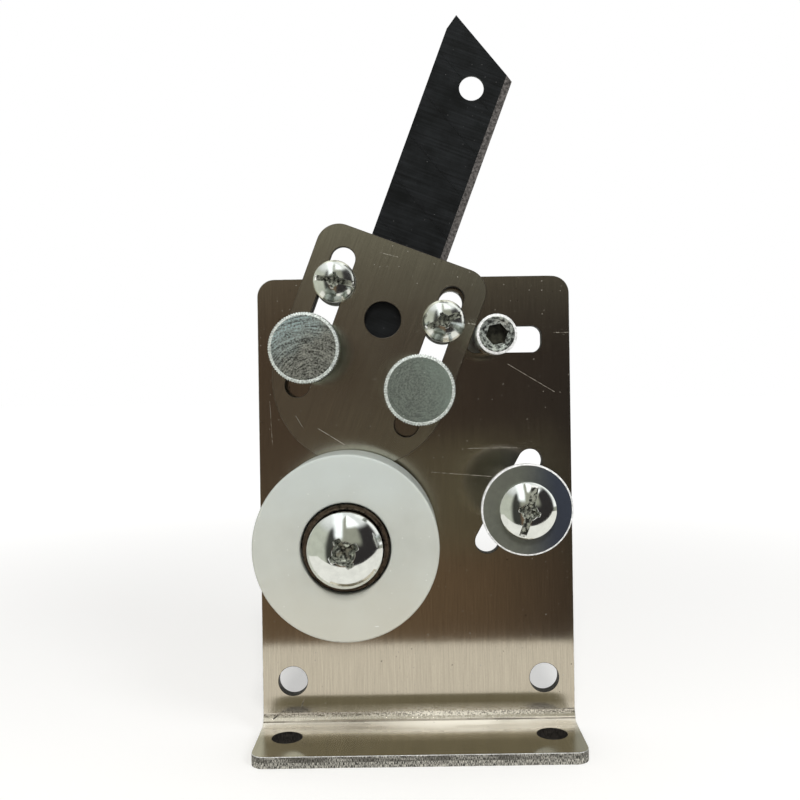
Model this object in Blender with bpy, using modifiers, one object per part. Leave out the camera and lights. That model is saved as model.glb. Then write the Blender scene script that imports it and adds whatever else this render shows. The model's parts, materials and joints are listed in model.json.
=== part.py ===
"""Cable stripping machine: an angle bracket with a clamped snap-off blade, a nylon
roller on a ball bearing and two cable guides that slide in slots.

Metres, +Z up. The origin is the centre of the foot's underside. The plate faces -Y.
Most pieces are modelled flat, as they look from the front: x to the right, y up the
plate and z out of the plate's front face, and hang from an empty on that face.
"""
import math

import bmesh
import bpy
from mathutils import Matrix, Vector

# Clearance between pieces that touch on the real machine
GAP = 0.0003

# Largest distance between a facet and the true curve, and Blender's merge distance
CHORD_ERROR = 0.00007
MERGE = 0.000001

# Angle bracket
SHEET = 0.0025
PLATE_WIDTH = 0.071
PLATE_TOP = 0.1037
FOOT_REACH = 0.0185
BEND_RADIUS = 0.0018
PLATE_CORNER = 0.004
FOOT_CORNER = 0.003
BRACKET_EDGE_BREAK = 0.00018
BOLT_HOLE_DIAMETER = 0.0066
PLATE_HOLE_INSET = 0.0069
PLATE_HOLE_HEIGHT = 0.0122
FOOT_HOLE_INSET = 0.0065
FOOT_HOLE_REACH = 0.0081

# Place and tilt of the blade clamp, measured at its sight hole, from the plate's left side
CLAMP_INSET = 0.0286
CLAMP_HEIGHT = 0.0940
CLAMP_TILT = math.radians(20.8)

# Clamp plate, in its own tilted frame with the sight hole at the origin
CLAMP_THICKNESS = 0.0015
CLAMP_WIDTH = 0.0402
CLAMP_TOP = 0.0173
CLAMP_BOTTOM_CENTRE = -0.0140
CLAMP_CORNER = 0.0052
CLAMP_EDGE_BREAK = 0.00015
SIGHT_HOLE_DIAMETER = 0.0082
CLAMP_SCREW_SPACING = 0.0261
CLAMP_SLOT_LOW = -0.0204
CLAMP_SLOT_HIGH = 0.0098
BRACKET_SLOT_LOW = -0.0149
BRACKET_SLOT_HIGH = 0.0090
PAN_SCREW_UP = 0.0043
THUMB_SCREW_UP = -0.0120

# Snap-off blade, in the clamp's frame
BLADE_WIDTH = 0.018
BLADE_LENGTH = 0.100
BLADE_THICKNESS = 0.0006
BLADE_TOP = 0.0713
BLADE_SLANT = math.radians(30)
BLADE_GRIND = 0.0016
BLADE_TIP_TRIM = 0.0022
BLADE_HOLE_DIAMETER = 0.0056
BLADE_HOLE_INSET = 0.0098
BLADE_HOLE_ACROSS = 0.0009
SCORE_SPACING = 0.010
SCORE_WIDTH = 0.00025
SCORE_DEPTH = 0.0001

# M5 hardware
M5_SHANK = 0.0049
M5_SLOT = M5_SHANK + 2 * GAP
M5_WASHER_DIAMETER = 0.010
M5_WASHER_THICKNESS = 0.001
M5_NUT_FLATS = 0.008
M5_NUT_HEIGHT = 0.004
M5_TAIL = 0.0012
PAN_HEAD_DIAMETER = 0.0095
PAN_HEAD_HEIGHT = 0.0037
THUMB_HEAD_DIAMETER = 0.0153
THUMB_HEAD_HEIGHT = 0.0055
THUMB_CHAMFER = 0.0007
THUMB_COLLAR_DIAMETER = 0.010
THUMB_COLLAR_HEIGHT = 0.0071
THUMB_KNURLS = 40
THUMB_KNURL_DEPTH = 0.00022

# M8 axle and its hardware
M8_SHANK = 0.008
M8_HEAD_DIAMETER = 0.0157
M8_HEAD_HEIGHT = 0.0058
M8_WASHER_DIAMETER = 0.016
M8_WASHER_THICKNESS = 0.0016
M8_NUT_FLATS = 0.013
M8_NUT_HEIGHT = 0.0065
M8_TAIL = 0.0015

# Nylon roller, from the plate's left side
ROLLER_INSET = 0.0206
ROLLER_HEIGHT = 0.0454
ROLLER_DIAMETER = 0.0392
ROLLER_WIDTH = 0.014
ROLLER_STANDOFF = 0.004
ROLLER_EDGE = 0.0008
ROLLER_SEAT_DIAMETER = 0.019
ROLLER_SEAT_RECESS = 0.0008
ROLLER_REAR_BORE = 0.015

# Ball bearing, 8 mm bore and 6 mm wide
BEARING_WIDTH = 0.006
BEARING_CHAMFER = 0.0003
INNER_RING_DIAMETER = 0.0106
OUTER_RING_BORE = 0.0159
BALL_DIAMETER = 0.003
BALL_COUNT = 7
CAGE_WALL = 0.0006
CAGE_RIM = 0.0004
SHIELD_THICKNESS = 0.0003
SHIELD_INSET = 0.0002
SHIM_THICKNESS = 0.0008

# Lower guide on the slanted slot, from the plate's right side
LOWER_SLOT_INSET = 0.0194
LOWER_SLOT_HEIGHT = 0.0434
LOWER_SLOT_TILT = math.radians(28.9)
LOWER_SLOT_TRAVEL = 0.0207
LOWER_GUIDE_UP = 0.0122
LOWER_SLEEVE_DIAMETER = 0.009
LOWER_SLEEVE_LENGTH = 0.0225
LOWER_COLLAR_DIAMETER = 0.0106
LOWER_COLLAR_THICKNESS = 0.0012
GUIDE_DISC_DIAMETER = 0.0184
GUIDE_DISC_THICKNESS = 0.0016
GUIDE_HEAD_DIAMETER = 0.0112
GUIDE_HEAD_HEIGHT = 0.0037

# Upper guide on the level slot. The slot ends an inset from the plate's right side, and
# reaches the spare length past the guide's axis on the other side
UPPER_SLOT_INSET = 0.0064
UPPER_SLOT_SPARE = 0.0049
UPPER_SLOT_HEIGHT = 0.0893
UPPER_SLOT_WIDTH = 0.006
UPPER_SLOT_CORNER = 0.0022
UPPER_GUIDE_CLEARANCE = 0.000425
UPPER_SLEEVE_DIAMETER = 0.0066
UPPER_SLEEVE_LENGTH = 0.0172
CAP_HEAD_DIAMETER = 0.0083
CAP_HEAD_HEIGHT = 0.005
CAP_HEAD_CHAMFER = 0.0004
HEX_SOCKET_FLATS = 0.004
HEX_SOCKET_DEPTH = 0.0026

# Driver recesses, as shares of the head's diameter and height
RECESS_SPAN = 0.55
RECESS_ARM = 0.13
RECESS_DEPTH = 0.65
RECESS_TAPER = 0.45
SLOT_DEPTH = 0.55

# Where each recess points, from the plate's level line
PAN_RECESS_TURN = {"left": math.radians(-11), "right": math.radians(21)}
AXLE_RECESS_TURN = math.radians(28)
GUIDE_RECESS_TURN = math.radians(75)

# Shapes of standard pieces, as shares of their own size
DOME_RIM = 0.33
DOME_RIM_CHAMFER = 0.3
SHANK_POINT = 0.15
NUT_FACE = 0.475
NUT_CHAMFER = math.radians(30)

# Facets along a domed head and along a race groove, and the angle of a sharp edge
DOME_STEPS = 5
GROOVE_STEPS = 4
SHARP_ANGLE = math.radians(30)

# Depth of the cut tools' ends beyond what they cut
OVERCUT = 0.002

# Finishes: colour, roughness, metallic
STAINLESS = ((0.36, 0.34, 0.31), 0.32, 1.0)
ZINC = ((0.62, 0.66, 0.68), 0.35, 1.0)
CHROME = ((0.80, 0.81, 0.80), 0.12, 1.0)
BLACK_STEEL = ((0.035, 0.035, 0.045), 0.35, 0.9)
BEARING_STEEL = ((0.42, 0.38, 0.33), 0.25, 1.0)
NYLON = ((0.78, 0.79, 0.76), 0.45, 0.0)

FRONT_Y = (FOOT_REACH - SHEET) / 2

# Size of an empty as it is drawn
EMPTY_SIZE = 0.01


def clear_scene():
    for item in list(bpy.data.objects):
        bpy.data.objects.remove(item, do_unlink=True)


def new_collection(name):
    collection = bpy.data.collections.new(name)
    bpy.context.scene.collection.children.link(collection)
    return collection


def facets(radius):
    """Number of facets on a full circle, a multiple of four."""
    half_step = math.acos(1 - CHORD_ERROR / radius)
    return 4 * max(3, math.ceil(math.pi / half_step / 4))


def arc(x, y, radius, start, sweep):
    """Points on an arc, both ends included; angles in radians."""
    steps = max(2, round(facets(radius) * abs(sweep) / (2 * math.pi)))
    points = []
    for step in range(steps + 1):
        angle = start + sweep * step / steps
        points.append((x + radius * math.cos(angle), y + radius * math.sin(angle)))
    return points


def circle(diameter):
    return arc(0, 0, diameter / 2, 0, 2 * math.pi)[:-1]


def rounded(corners):
    """Outline through corners (x, y, radius), each one rounded by its own radius."""
    points = []
    for index, (x, y, radius) in enumerate(corners):
        here = Vector((x, y))
        to_last = (Vector(corners[index - 1][:2]) - here).normalized()
        to_next = (Vector(corners[(index + 1) % len(corners)][:2]) - here).normalized()
        if radius == 0:
            points.append((x, y))
            continue
        half = to_last.angle(to_next) / 2
        centre = here + (to_last + to_next).normalized() * radius / math.sin(half)
        spoke = here + to_last * radius / math.tan(half) - centre
        sweep = math.copysign(math.pi - 2 * half, to_next.cross(to_last))
        points += arc(centre.x, centre.y, radius, math.atan2(spoke.y, spoke.x), sweep)
    return points


def slot(low, high, width):
    """Upright slot with round ends, between two end centres on the y axis."""
    return arc(0, high, width / 2, 0, math.pi) + arc(0, low, width / 2, math.pi, math.pi)


def moved(points, x, y):
    return [(px + x, py + y) for px, py in points]


def flat(name, outlines, thickness, edge_break=0.0):
    """Flat piece from z = 0 to its thickness; outlines inside the first are holes."""
    curve = bpy.data.curves.new(name, "CURVE")
    curve.dimensions = "2D"
    curve.fill_mode = "BOTH"
    curve.extrude = thickness / 2 - edge_break
    curve.bevel_depth = edge_break
    curve.bevel_resolution = 0
    curve.offset = -edge_break
    for outline in outlines:
        spline = curve.splines.new("POLY")
        spline.points.add(len(outline) - 1)
        for point, (x, y) in zip(spline.points, outline):
            point.co = (x, y, 0, 1)
        spline.use_cyclic_u = True
    drawing = bpy.data.objects.new(name, curve)
    bpy.context.scene.collection.objects.link(drawing)
    bpy.context.view_layer.update()
    graph = bpy.context.evaluated_depsgraph_get()
    mesh = bpy.data.meshes.new_from_object(drawing.evaluated_get(graph))
    bpy.data.objects.remove(drawing)
    mesh.transform(Matrix.Translation((0, 0, thickness / 2)))
    work = bmesh.new()
    work.from_mesh(mesh)
    bmesh.ops.remove_doubles(work, verts=work.verts, dist=MERGE)
    bmesh.ops.dissolve_limit(work, angle_limit=math.radians(1), verts=work.verts, edges=work.edges)
    bmesh.ops.recalc_face_normals(work, faces=work.faces)
    work.to_mesh(mesh)
    work.free()
    mesh.name = name
    return bpy.data.objects.new(name, mesh)


def turned(name, profile, closed=False):
    """Turned piece round z. The profile holds (radius, z) from the top down its outside."""
    count = len(profile)
    mesh = bpy.data.meshes.new(name)
    edges = [(index, index + 1) for index in range(count - 1)]
    if closed:
        edges.append((count - 1, 0))
    mesh.from_pydata([(radius, 0, z) for radius, z in profile], edges, [])
    piece = bpy.data.objects.new(name, mesh)
    lathe = piece.modifiers.new("lathe", "SCREW")
    lathe.axis = "Z"
    lathe.angle = 2 * math.pi
    lathe.steps = facets(max(radius for radius, z in profile))
    lathe.render_steps = lathe.steps
    lathe.use_merge_vertices = True
    lathe.merge_threshold = MERGE
    return piece


def ring(name, outer_diameter, bore, thickness, edge_break=0.0):
    """Plain ring, such as a washer or a sleeve, from z = 0 to its thickness."""
    outer = outer_diameter / 2
    inner = bore / 2
    if edge_break == 0:
        profile = [(inner, thickness), (outer, thickness), (outer, 0), (inner, 0)]
        return turned(name, profile, closed=True)
    profile = [
        (inner, thickness - edge_break),
        (inner + edge_break, thickness),
        (outer - edge_break, thickness),
        (outer, thickness - edge_break),
        (outer, edge_break),
        (outer - edge_break, 0),
        (inner + edge_break, 0),
        (inner, edge_break),
    ]
    return turned(name, profile, closed=True)


def sphere(name, diameter):
    mesh = bpy.data.meshes.new(name)
    work = bmesh.new()
    bmesh.ops.create_icosphere(work, subdivisions=2, radius=diameter / 2)
    work.to_mesh(mesh)
    work.free()
    return bpy.data.objects.new(name, mesh)


def keep(piece, finish):
    """Adds a finished piece to the machine, with its own material."""
    colour, roughness, metallic = finish
    material = bpy.data.materials.new(piece.name)
    material.use_nodes = True
    shader = material.node_tree.nodes["Principled BSDF"]
    shader.inputs["Base Color"].default_value = (*colour, 1)
    shader.inputs["Roughness"].default_value = roughness
    shader.inputs["Metallic"].default_value = metallic
    piece.data.materials.append(material)
    machine.objects.link(piece)
    return piece


def boolean(piece, tool, operation="DIFFERENCE"):
    """Cuts a piece with a tool, or joins the tool to it."""
    cutters.objects.link(tool)
    tool.hide_render = True
    tool.display_type = "WIRE"
    tool.parent = piece
    change = piece.modifiers.new(tool.name, "BOOLEAN")
    change.operation = operation
    change.object = tool
    return piece


def seat(piece, parent, x, y, z, turn=0.0):
    """Hangs a piece or an empty from a parent's frame."""
    piece.parent = parent
    piece.location = (x, y, z)
    piece.rotation_euler = (0, 0, turn)
    return piece


def frame_empty(name):
    empty = bpy.data.objects.new(name, None)
    empty.empty_display_size = EMPTY_SIZE
    machine.objects.link(empty)
    return empty


def drill(name, diameter, low, high):
    """Round cutter along z."""
    return turned(name, [(0, high), (diameter / 2, high), (diameter / 2, low), (0, low)])


def round_edges(work, edges, radius, facets_across):
    bmesh.ops.bevel(
        work,
        geom=edges,
        offset=radius,
        offset_type="OFFSET",
        segments=facets_across,
        profile=0.5,
        affect="EDGES",
    )


def bracket_blank():
    """Bent sheet, in the front frame: plate behind z = 0 and foot out towards z."""
    outer_bend = BEND_RADIUS + SHEET
    bend_height = SHEET + BEND_RADIUS
    inside = arc(BEND_RADIUS, bend_height, BEND_RADIUS, math.pi, math.pi / 2)
    outside = arc(BEND_RADIUS, bend_height, outer_bend, 1.5 * math.pi, -math.pi / 2)
    section = [(-SHEET, PLATE_TOP), (0, PLATE_TOP)]
    section += inside
    section += [(FOOT_REACH, SHEET), (FOOT_REACH, 0)]
    section += outside
    blank = flat("base_bracket", [section], PLATE_WIDTH)
    sideways = Matrix(((0, 0, -1, PLATE_WIDTH / 2), (0, 1, 0, 0), (1, 0, 0, 0), (0, 0, 0, 1)))
    blank.data.transform(sideways)
    work = bmesh.new()
    work.from_mesh(blank.data)
    plate_corners = []
    foot_corners = []
    for edge in work.edges:
        a, b = (vert.co for vert in edge.verts)
        if abs(a.x - b.x) > MERGE:
            continue
        if abs(a.y - PLATE_TOP) < MERGE and abs(b.y - PLATE_TOP) < MERGE:
            plate_corners.append(edge)
        if abs(a.z - FOOT_REACH) < MERGE and abs(b.z - FOOT_REACH) < MERGE:
            foot_corners.append(edge)
    round_edges(work, plate_corners, PLATE_CORNER, facets(PLATE_CORNER) // 4)
    round_edges(work, foot_corners, FOOT_CORNER, facets(FOOT_CORNER) // 4)
    sharp = [edge for edge in work.edges if edge.calc_face_angle(0) > math.radians(60)]
    round_edges(work, sharp, BRACKET_EDGE_BREAK, 1)
    work.to_mesh(blank.data)
    work.free()
    return blank


def plate_cut(bracket, name, outline, x, y, turn=0.0):
    """Cuts an outline through the plate, at a place of the front frame."""
    tool = flat(name, [outline], SHEET + 2 * OVERCUT)
    boolean(bracket, tool)
    tool.location = (x, y, -SHEET - OVERCUT)
    tool.rotation_euler = (0, 0, turn)


def build_bracket(face):
    bracket = bracket_blank()
    for side, x in (("left", -PLATE_HOLE_X), ("right", PLATE_HOLE_X)):
        plate_cut(bracket, "plate_hole_" + side, circle(BOLT_HOLE_DIAMETER), x, PLATE_HOLE_HEIGHT)
    for side, x in (("left", -FOOT_HOLE_X), ("right", FOOT_HOLE_X)):
        tool = drill("foot_hole_" + side, BOLT_HOLE_DIAMETER, -OVERCUT, SHEET + OVERCUT)
        boolean(bracket, tool)
        tool.location = (x, 0, FOOT_HOLE_REACH)
        tool.rotation_euler = (-math.pi / 2, 0, 0)
    plate_cut(bracket, "axle_hole", circle(M8_SHANK + 2 * GAP), ROLLER_X, ROLLER_HEIGHT)
    blade_slot = slot(BRACKET_SLOT_LOW, BRACKET_SLOT_HIGH, M5_SLOT)
    for side, across in (("left", -CLAMP_SCREW_SPACING / 2), ("right", CLAMP_SCREW_SPACING / 2)):
        outline = moved(blade_slot, across, 0)
        plate_cut(bracket, "clamp_slot_" + side, outline, CLAMP_X, CLAMP_HEIGHT, -CLAMP_TILT)
    guide_slot = slot(0, LOWER_SLOT_TRAVEL, M5_SLOT)
    plate_cut(bracket, "lower_slot", guide_slot, LOWER_SLOT_X, LOWER_SLOT_HEIGHT, -LOWER_SLOT_TILT)
    half = UPPER_SLOT_WIDTH / 2
    level_slot = rounded([
        (UPPER_SLOT_LEFT, -half, UPPER_SLOT_CORNER),
        (UPPER_SLOT_RIGHT, -half, UPPER_SLOT_CORNER),
        (UPPER_SLOT_RIGHT, half, UPPER_SLOT_CORNER),
        (UPPER_SLOT_LEFT, half, UPPER_SLOT_CORNER),
    ])
    plate_cut(bracket, "upper_slot", level_slot, 0, UPPER_SLOT_HEIGHT)
    seat(bracket, face, 0, 0, 0)
    keep(bracket, STAINLESS)


def build_clamp_plate(clamp):
    half = CLAMP_WIDTH / 2
    outline = rounded([
        (-half, CLAMP_BOTTOM_CENTRE - half, half),
        (half, CLAMP_BOTTOM_CENTRE - half, half),
        (half, CLAMP_TOP, CLAMP_CORNER),
        (-half, CLAMP_TOP, CLAMP_CORNER),
    ])
    screw_slot = slot(CLAMP_SLOT_LOW, CLAMP_SLOT_HIGH, M5_SLOT)
    left_slot = moved(screw_slot, -CLAMP_SCREW_SPACING / 2, 0)
    right_slot = moved(screw_slot, CLAMP_SCREW_SPACING / 2, 0)
    holes = [left_slot, right_slot, circle(SIGHT_HOLE_DIAMETER)]
    plate = flat("blade_clamp_plate", [outline] + holes, CLAMP_THICKNESS, CLAMP_EDGE_BREAK)
    seat(plate, clamp, 0, 0, CLAMP_BACK)
    keep(plate, STAINLESS)


def build_blade(clamp):
    """Blade blank ground along its right side, cut off at a slant at both ends."""
    half = BLADE_WIDTH / 2
    section = [
        (-half, 0),
        (half - BLADE_GRIND, 0),
        (half, BLADE_THICKNESS / 2),
        (half - BLADE_GRIND, BLADE_THICKNESS),
        (-half, BLADE_THICKNESS),
    ]
    blade = flat("cutter_blade", [section], BLADE_LENGTH)
    upright = Matrix(((1, 0, 0, 0), (0, 0, -1, BLADE_TOP), (0, 1, 0, 0), (0, 0, 0, 1)))
    blade.data.transform(upright)
    work = bmesh.new()
    work.from_mesh(blade.data)
    slant = Vector((math.sin(BLADE_SLANT), math.cos(BLADE_SLANT), 0))
    corner_trim = Vector((-math.cos(BLADE_SLANT / 2), math.sin(BLADE_SLANT / 2), 0))
    tip = Vector((-half, BLADE_TOP, 0))
    cuts = [
        (tip, slant),
        (Vector((half, BLADE_TOP - BLADE_LENGTH, 0)), -slant),
        (tip - corner_trim * BLADE_TIP_TRIM / 2, corner_trim),
    ]
    for point, outward in cuts:
        everything = work.verts[:] + work.edges[:] + work.faces[:]
        section_cut = bmesh.ops.bisect_plane(
            work, geom=everything, dist=MERGE, plane_co=point, plane_no=outward, clear_outer=True
        )
        rim = [item for item in section_cut["geom_cut"] if isinstance(item, bmesh.types.BMEdge)]
        bmesh.ops.holes_fill(work, edges=rim)
    bmesh.ops.recalc_face_normals(work, faces=work.faces)
    work.to_mesh(blade.data)
    work.free()
    eye = drill("blade_eye", BLADE_HOLE_DIAMETER, -OVERCUT, BLADE_THICKNESS + OVERCUT)
    boolean(blade, eye)
    eye.location = (BLADE_HOLE_ACROSS, BLADE_TOP - half * math.tan(BLADE_SLANT) - BLADE_HOLE_INSET, 0)
    scores = int(BLADE_LENGTH / SCORE_SPACING) - 2
    for number in range(1, scores + 1):
        length = BLADE_WIDTH / math.cos(BLADE_SLANT) - 2 * BLADE_GRIND
        line = [
            (-length / 2, -SCORE_WIDTH / 2),
            (length / 2, -SCORE_WIDTH / 2),
            (length / 2, SCORE_WIDTH / 2),
            (-length / 2, SCORE_WIDTH / 2),
        ]
        score = flat("score_%d" % number, [line], OVERCUT)
        boolean(blade, score)
        middle = BLADE_TOP - BLADE_LENGTH + half * math.tan(BLADE_SLANT) + number * SCORE_SPACING
        score.location = (-BLADE_GRIND / 2, middle, BLADE_THICKNESS - SCORE_DEPTH)
        score.rotation_euler = (0, 0, -BLADE_SLANT)
    seat(blade, clamp, 0, 0, GAP)
    keep(blade, BLACK_STEEL)


def dome(radius, height):
    """Profile of a domed head: from its crown to the edge of its underside."""
    rim = DOME_RIM * height
    chamfer = DOME_RIM_CHAMFER * rim
    rise = height - rim
    ball = (radius**2 + rise**2) / (2 * rise)
    points = []
    for step in range(DOME_STEPS + 1):
        angle = math.asin(radius / ball) * step / DOME_STEPS
        points.append((ball * math.sin(angle), height - ball + ball * math.cos(angle)))
    points.append((radius, chamfer))
    points.append((radius - chamfer, 0))
    return points


def shank(diameter, length):
    """Profile of a screw's shank, from under its head down."""
    radius = diameter / 2
    point = SHANK_POINT * diameter
    return [(radius, 0), (radius, point - length), (radius - point, -length), (0, -length)]


def cut_cross(screw, span, arm, depth, height):
    """Cuts a cross recess that narrows to its bottom, as two arms."""
    for name, turn in (("cross_arm_a", 0), ("cross_arm_b", math.pi / 2)):
        tool = slot_cutter(name, span, arm, depth, height)
        for vert in tool.data.vertices:
            if vert.co.z < height:
                vert.co.x *= RECESS_TAPER
                vert.co.y *= RECESS_TAPER
        boolean(screw, tool)
        tool.rotation_euler = (0, 0, turn)


def slot_cutter(name, length, width, depth, height):
    x = length / 2
    y = width / 2
    tool = flat(name, [[(-x, -y), (x, -y), (x, y), (-x, y)]], depth + OVERCUT)
    tool.data.transform(Matrix.Translation((0, 0, height - depth)))
    return tool


def domed_screw(name, diameter, head_diameter, head_height, length):
    """Screw with a domed head and a cross recess."""
    screw = turned(name, dome(head_diameter / 2, head_height) + shank(diameter, length))
    arm = RECESS_ARM * head_diameter
    cut_cross(screw, RECESS_SPAN * head_diameter, arm, RECESS_DEPTH * head_height, head_height)
    return screw


def pan_screw(name, head_diameter, head_height, length):
    """M5 screw with a domed head and a combined cross and slot recess."""
    screw = domed_screw(name, M5_SHANK, head_diameter, head_height, length)
    arm = RECESS_ARM * head_diameter
    depth = SLOT_DEPTH * head_height
    across = slot_cutter("driver_slot", head_diameter + OVERCUT, arm, depth, head_height)
    return boolean(screw, across)


def thumb_screw(name, length):
    """Knurled disc on a collar, with an M5 shank."""
    outer = THUMB_HEAD_DIAMETER / 2
    points = []
    for number in range(2 * THUMB_KNURLS):
        radius = outer - THUMB_KNURL_DEPTH * (number % 2)
        angle = math.pi * number / THUMB_KNURLS
        points.append((radius * math.cos(angle), radius * math.sin(angle)))
    disc = flat(name, [points], THUMB_HEAD_HEIGHT, THUMB_CHAMFER)
    disc.data.transform(Matrix.Translation((0, 0, THUMB_COLLAR_HEIGHT)))
    collar = THUMB_COLLAR_DIAMETER / 2
    top = THUMB_COLLAR_HEIGHT + THUMB_HEAD_HEIGHT / 2
    profile = [(0, top), (collar, top), (collar, 0)] + shank(M5_SHANK, length)
    stem = turned(name + "_stem", profile)
    return boolean(disc, stem, "UNION")


def hex_points(flats):
    corner = flats / math.sqrt(3)
    return [
        (corner * math.cos(math.pi / 3 * number), corner * math.sin(math.pi / 3 * number))
        for number in range(6)
    ]


def nut(name, flats, height, bore):
    """Hexagon nut with chamfered corners, from z = 0 up."""
    body = flat(name, [hex_points(flats)], height)
    corner = flats / math.sqrt(3)
    face = NUT_FACE * flats
    chamfer = (corner - face) * math.tan(NUT_CHAMFER)
    bevelled = [
        (0, height + GAP),
        (face, height + GAP),
        (face, height),
        (corner + GAP, height - chamfer),
        (corner + GAP, chamfer),
        (face, 0),
        (face, -GAP),
        (0, -GAP),
    ]
    boolean(body, turned(name + "_form", bevelled), "INTERSECT")
    return boolean(body, drill(name + "_thread", bore, -OVERCUT, height + OVERCUT))


def rear_hardware(parent, name, x, y, thread="M5"):
    """Washer and nut behind the plate, at a place of the parent's frame."""
    washer_diameter, washer_thickness, nut_flats, nut_height, bore = REAR_SIZES[thread]
    washer = ring(name + "_rear_washer", washer_diameter, bore, washer_thickness)
    seat(washer, parent, x, y, -SHEET - GAP - washer_thickness)
    keep(washer, ZINC)
    hexagon = nut(name + "_nut", nut_flats, nut_height, bore)
    seat(hexagon, parent, x, y, -SHEET - 2 * GAP - washer_thickness - nut_height)
    keep(hexagon, ZINC)


def screw_length(head_underside, washer_thickness, nut_height, tail):
    """Shank length from a head's underside to past the nut behind the plate."""
    return head_underside + SHEET + 2 * GAP + washer_thickness + nut_height + tail


def build_clamp_hardware(clamp):
    under_head = CLAMP_BACK + CLAMP_THICKNESS + GAP
    length = screw_length(under_head, M5_WASHER_THICKNESS, M5_NUT_HEIGHT, M5_TAIL)
    for side, across in (("left", -CLAMP_SCREW_SPACING / 2), ("right", CLAMP_SCREW_SPACING / 2)):
        screw = pan_screw("clamp_screw_" + side, PAN_HEAD_DIAMETER, PAN_HEAD_HEIGHT, length)
        turn = PAN_RECESS_TURN[side] + CLAMP_TILT
        seat(screw, clamp, across, PAN_SCREW_UP, under_head, turn)
        keep(screw, CHROME)
        rear_hardware(clamp, "clamp_screw_" + side, across, PAN_SCREW_UP)
        thumb = thumb_screw("thumb_screw_" + side, length)
        seat(thumb, clamp, across, THUMB_SCREW_UP, under_head)
        keep(thumb, ZINC)
        rear_hardware(clamp, "thumb_screw_" + side, across, THUMB_SCREW_UP)


def race_groove(ring_radius, toward_centre):
    """Groove in a bearing ring: the arc of a ball with clearance, from bottom to top."""
    radius = BALL_DIAMETER / 2 + GAP
    reach = (ring_radius - PITCH_RADIUS) / radius
    opening = math.acos(min(1, abs(reach)))
    points = []
    for step in range(GROOVE_STEPS + 1):
        angle = opening * (2 * step / GROOVE_STEPS - 1)
        from_axis = PITCH_RADIUS - toward_centre * radius * math.cos(angle)
        points.append((from_axis, radius * math.sin(angle)))
    return points


def build_bearing(roller):
    """Rings, balls and shields about z = 0 at the bearing's mid plane."""
    half = BEARING_WIDTH / 2
    outer = OUTER_RING_DIAMETER / 2
    bore = OUTER_RING_BORE / 2
    chamfer = BEARING_CHAMFER
    profile = [
        (bore, half),
        (outer - chamfer, half),
        (outer, half - chamfer),
        (outer, chamfer - half),
        (outer - chamfer, -half),
        (bore, -half),
    ]
    profile += race_groove(bore, -1)
    outer_ring = turned("bearing_outer_ring", profile, closed=True)
    seat(outer_ring, roller, 0, 0, BEARING_MIDDLE)
    keep(outer_ring, BEARING_STEEL)

    inner = M8_SHANK / 2 + GAP
    outside = INNER_RING_DIAMETER / 2
    profile = [(outside, half)]
    profile += reversed(race_groove(outside, 1))
    profile += [
        (outside, -half),
        (inner + chamfer, -half),
        (inner, chamfer - half),
        (inner, half - chamfer),
        (inner + chamfer, half),
    ]
    inner_ring = turned("bearing_inner_ring", profile, closed=True)
    seat(inner_ring, roller, 0, 0, BEARING_MIDDLE)
    keep(inner_ring, BEARING_STEEL)

    pocket = BALL_DIAMETER + 2 * GAP
    band = pocket + 2 * CAGE_RIM
    cage = ring("bearing_cage", 2 * PITCH_RADIUS + CAGE_WALL, 2 * PITCH_RADIUS - CAGE_WALL, band)
    seat(cage, roller, 0, 0, BEARING_MIDDLE - band / 2)
    keep(cage, BEARING_STEEL)
    for number in range(BALL_COUNT):
        angle = 2 * math.pi * number / BALL_COUNT
        x = PITCH_RADIUS * math.cos(angle)
        y = PITCH_RADIUS * math.sin(angle)
        tool = drill("ball_pocket_%d" % (number + 1), pocket, -BALL_DIAMETER, BALL_DIAMETER)
        boolean(cage, tool)
        tool.location = (x, y, band / 2)
        tool.rotation_euler = (0, math.pi / 2, angle)
        ball = sphere("bearing_ball_%d" % (number + 1), BALL_DIAMETER)
        seat(ball, roller, x, y, BEARING_MIDDLE)
        keep(ball, CHROME)

    shield_outer = OUTER_RING_BORE - 2 * GAP
    shield_bore = INNER_RING_DIAMETER + 2 * GAP
    front_shield = half - SHIELD_INSET - SHIELD_THICKNESS
    for side, z in (("front", front_shield), ("rear", SHIELD_INSET - half)):
        shield = ring("bearing_shield_" + side, shield_outer, shield_bore, SHIELD_THICKNESS)
        seat(shield, roller, 0, 0, BEARING_MIDDLE + z)
        keep(shield, BEARING_STEEL)


def build_roller(roller):
    """Nylon roller with a stepped bore: a seat in front and a smaller bore behind."""
    outer = ROLLER_DIAMETER / 2
    seat_radius = ROLLER_SEAT_DIAMETER / 2
    rear_radius = ROLLER_REAR_BORE / 2
    back = ROLLER_STANDOFF
    front = ROLLER_STANDOFF + ROLLER_WIDTH
    shoulder = BEARING_MIDDLE - BEARING_WIDTH / 2 - GAP
    lip = ROLLER_EDGE / 2
    rim = outer - ROLLER_EDGE
    quarter = math.pi / 2
    profile = [(seat_radius, front - lip), (seat_radius + lip, front)]
    profile += arc(rim, front - ROLLER_EDGE, ROLLER_EDGE, quarter, -quarter)
    profile += arc(rim, back + ROLLER_EDGE, ROLLER_EDGE, 0, -quarter)
    profile += [(rear_radius, back), (rear_radius, shoulder), (seat_radius, shoulder)]
    wheel = turned("roller_wheel", profile, closed=True)
    seat(wheel, roller, 0, 0, 0)
    keep(wheel, NYLON)


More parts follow.
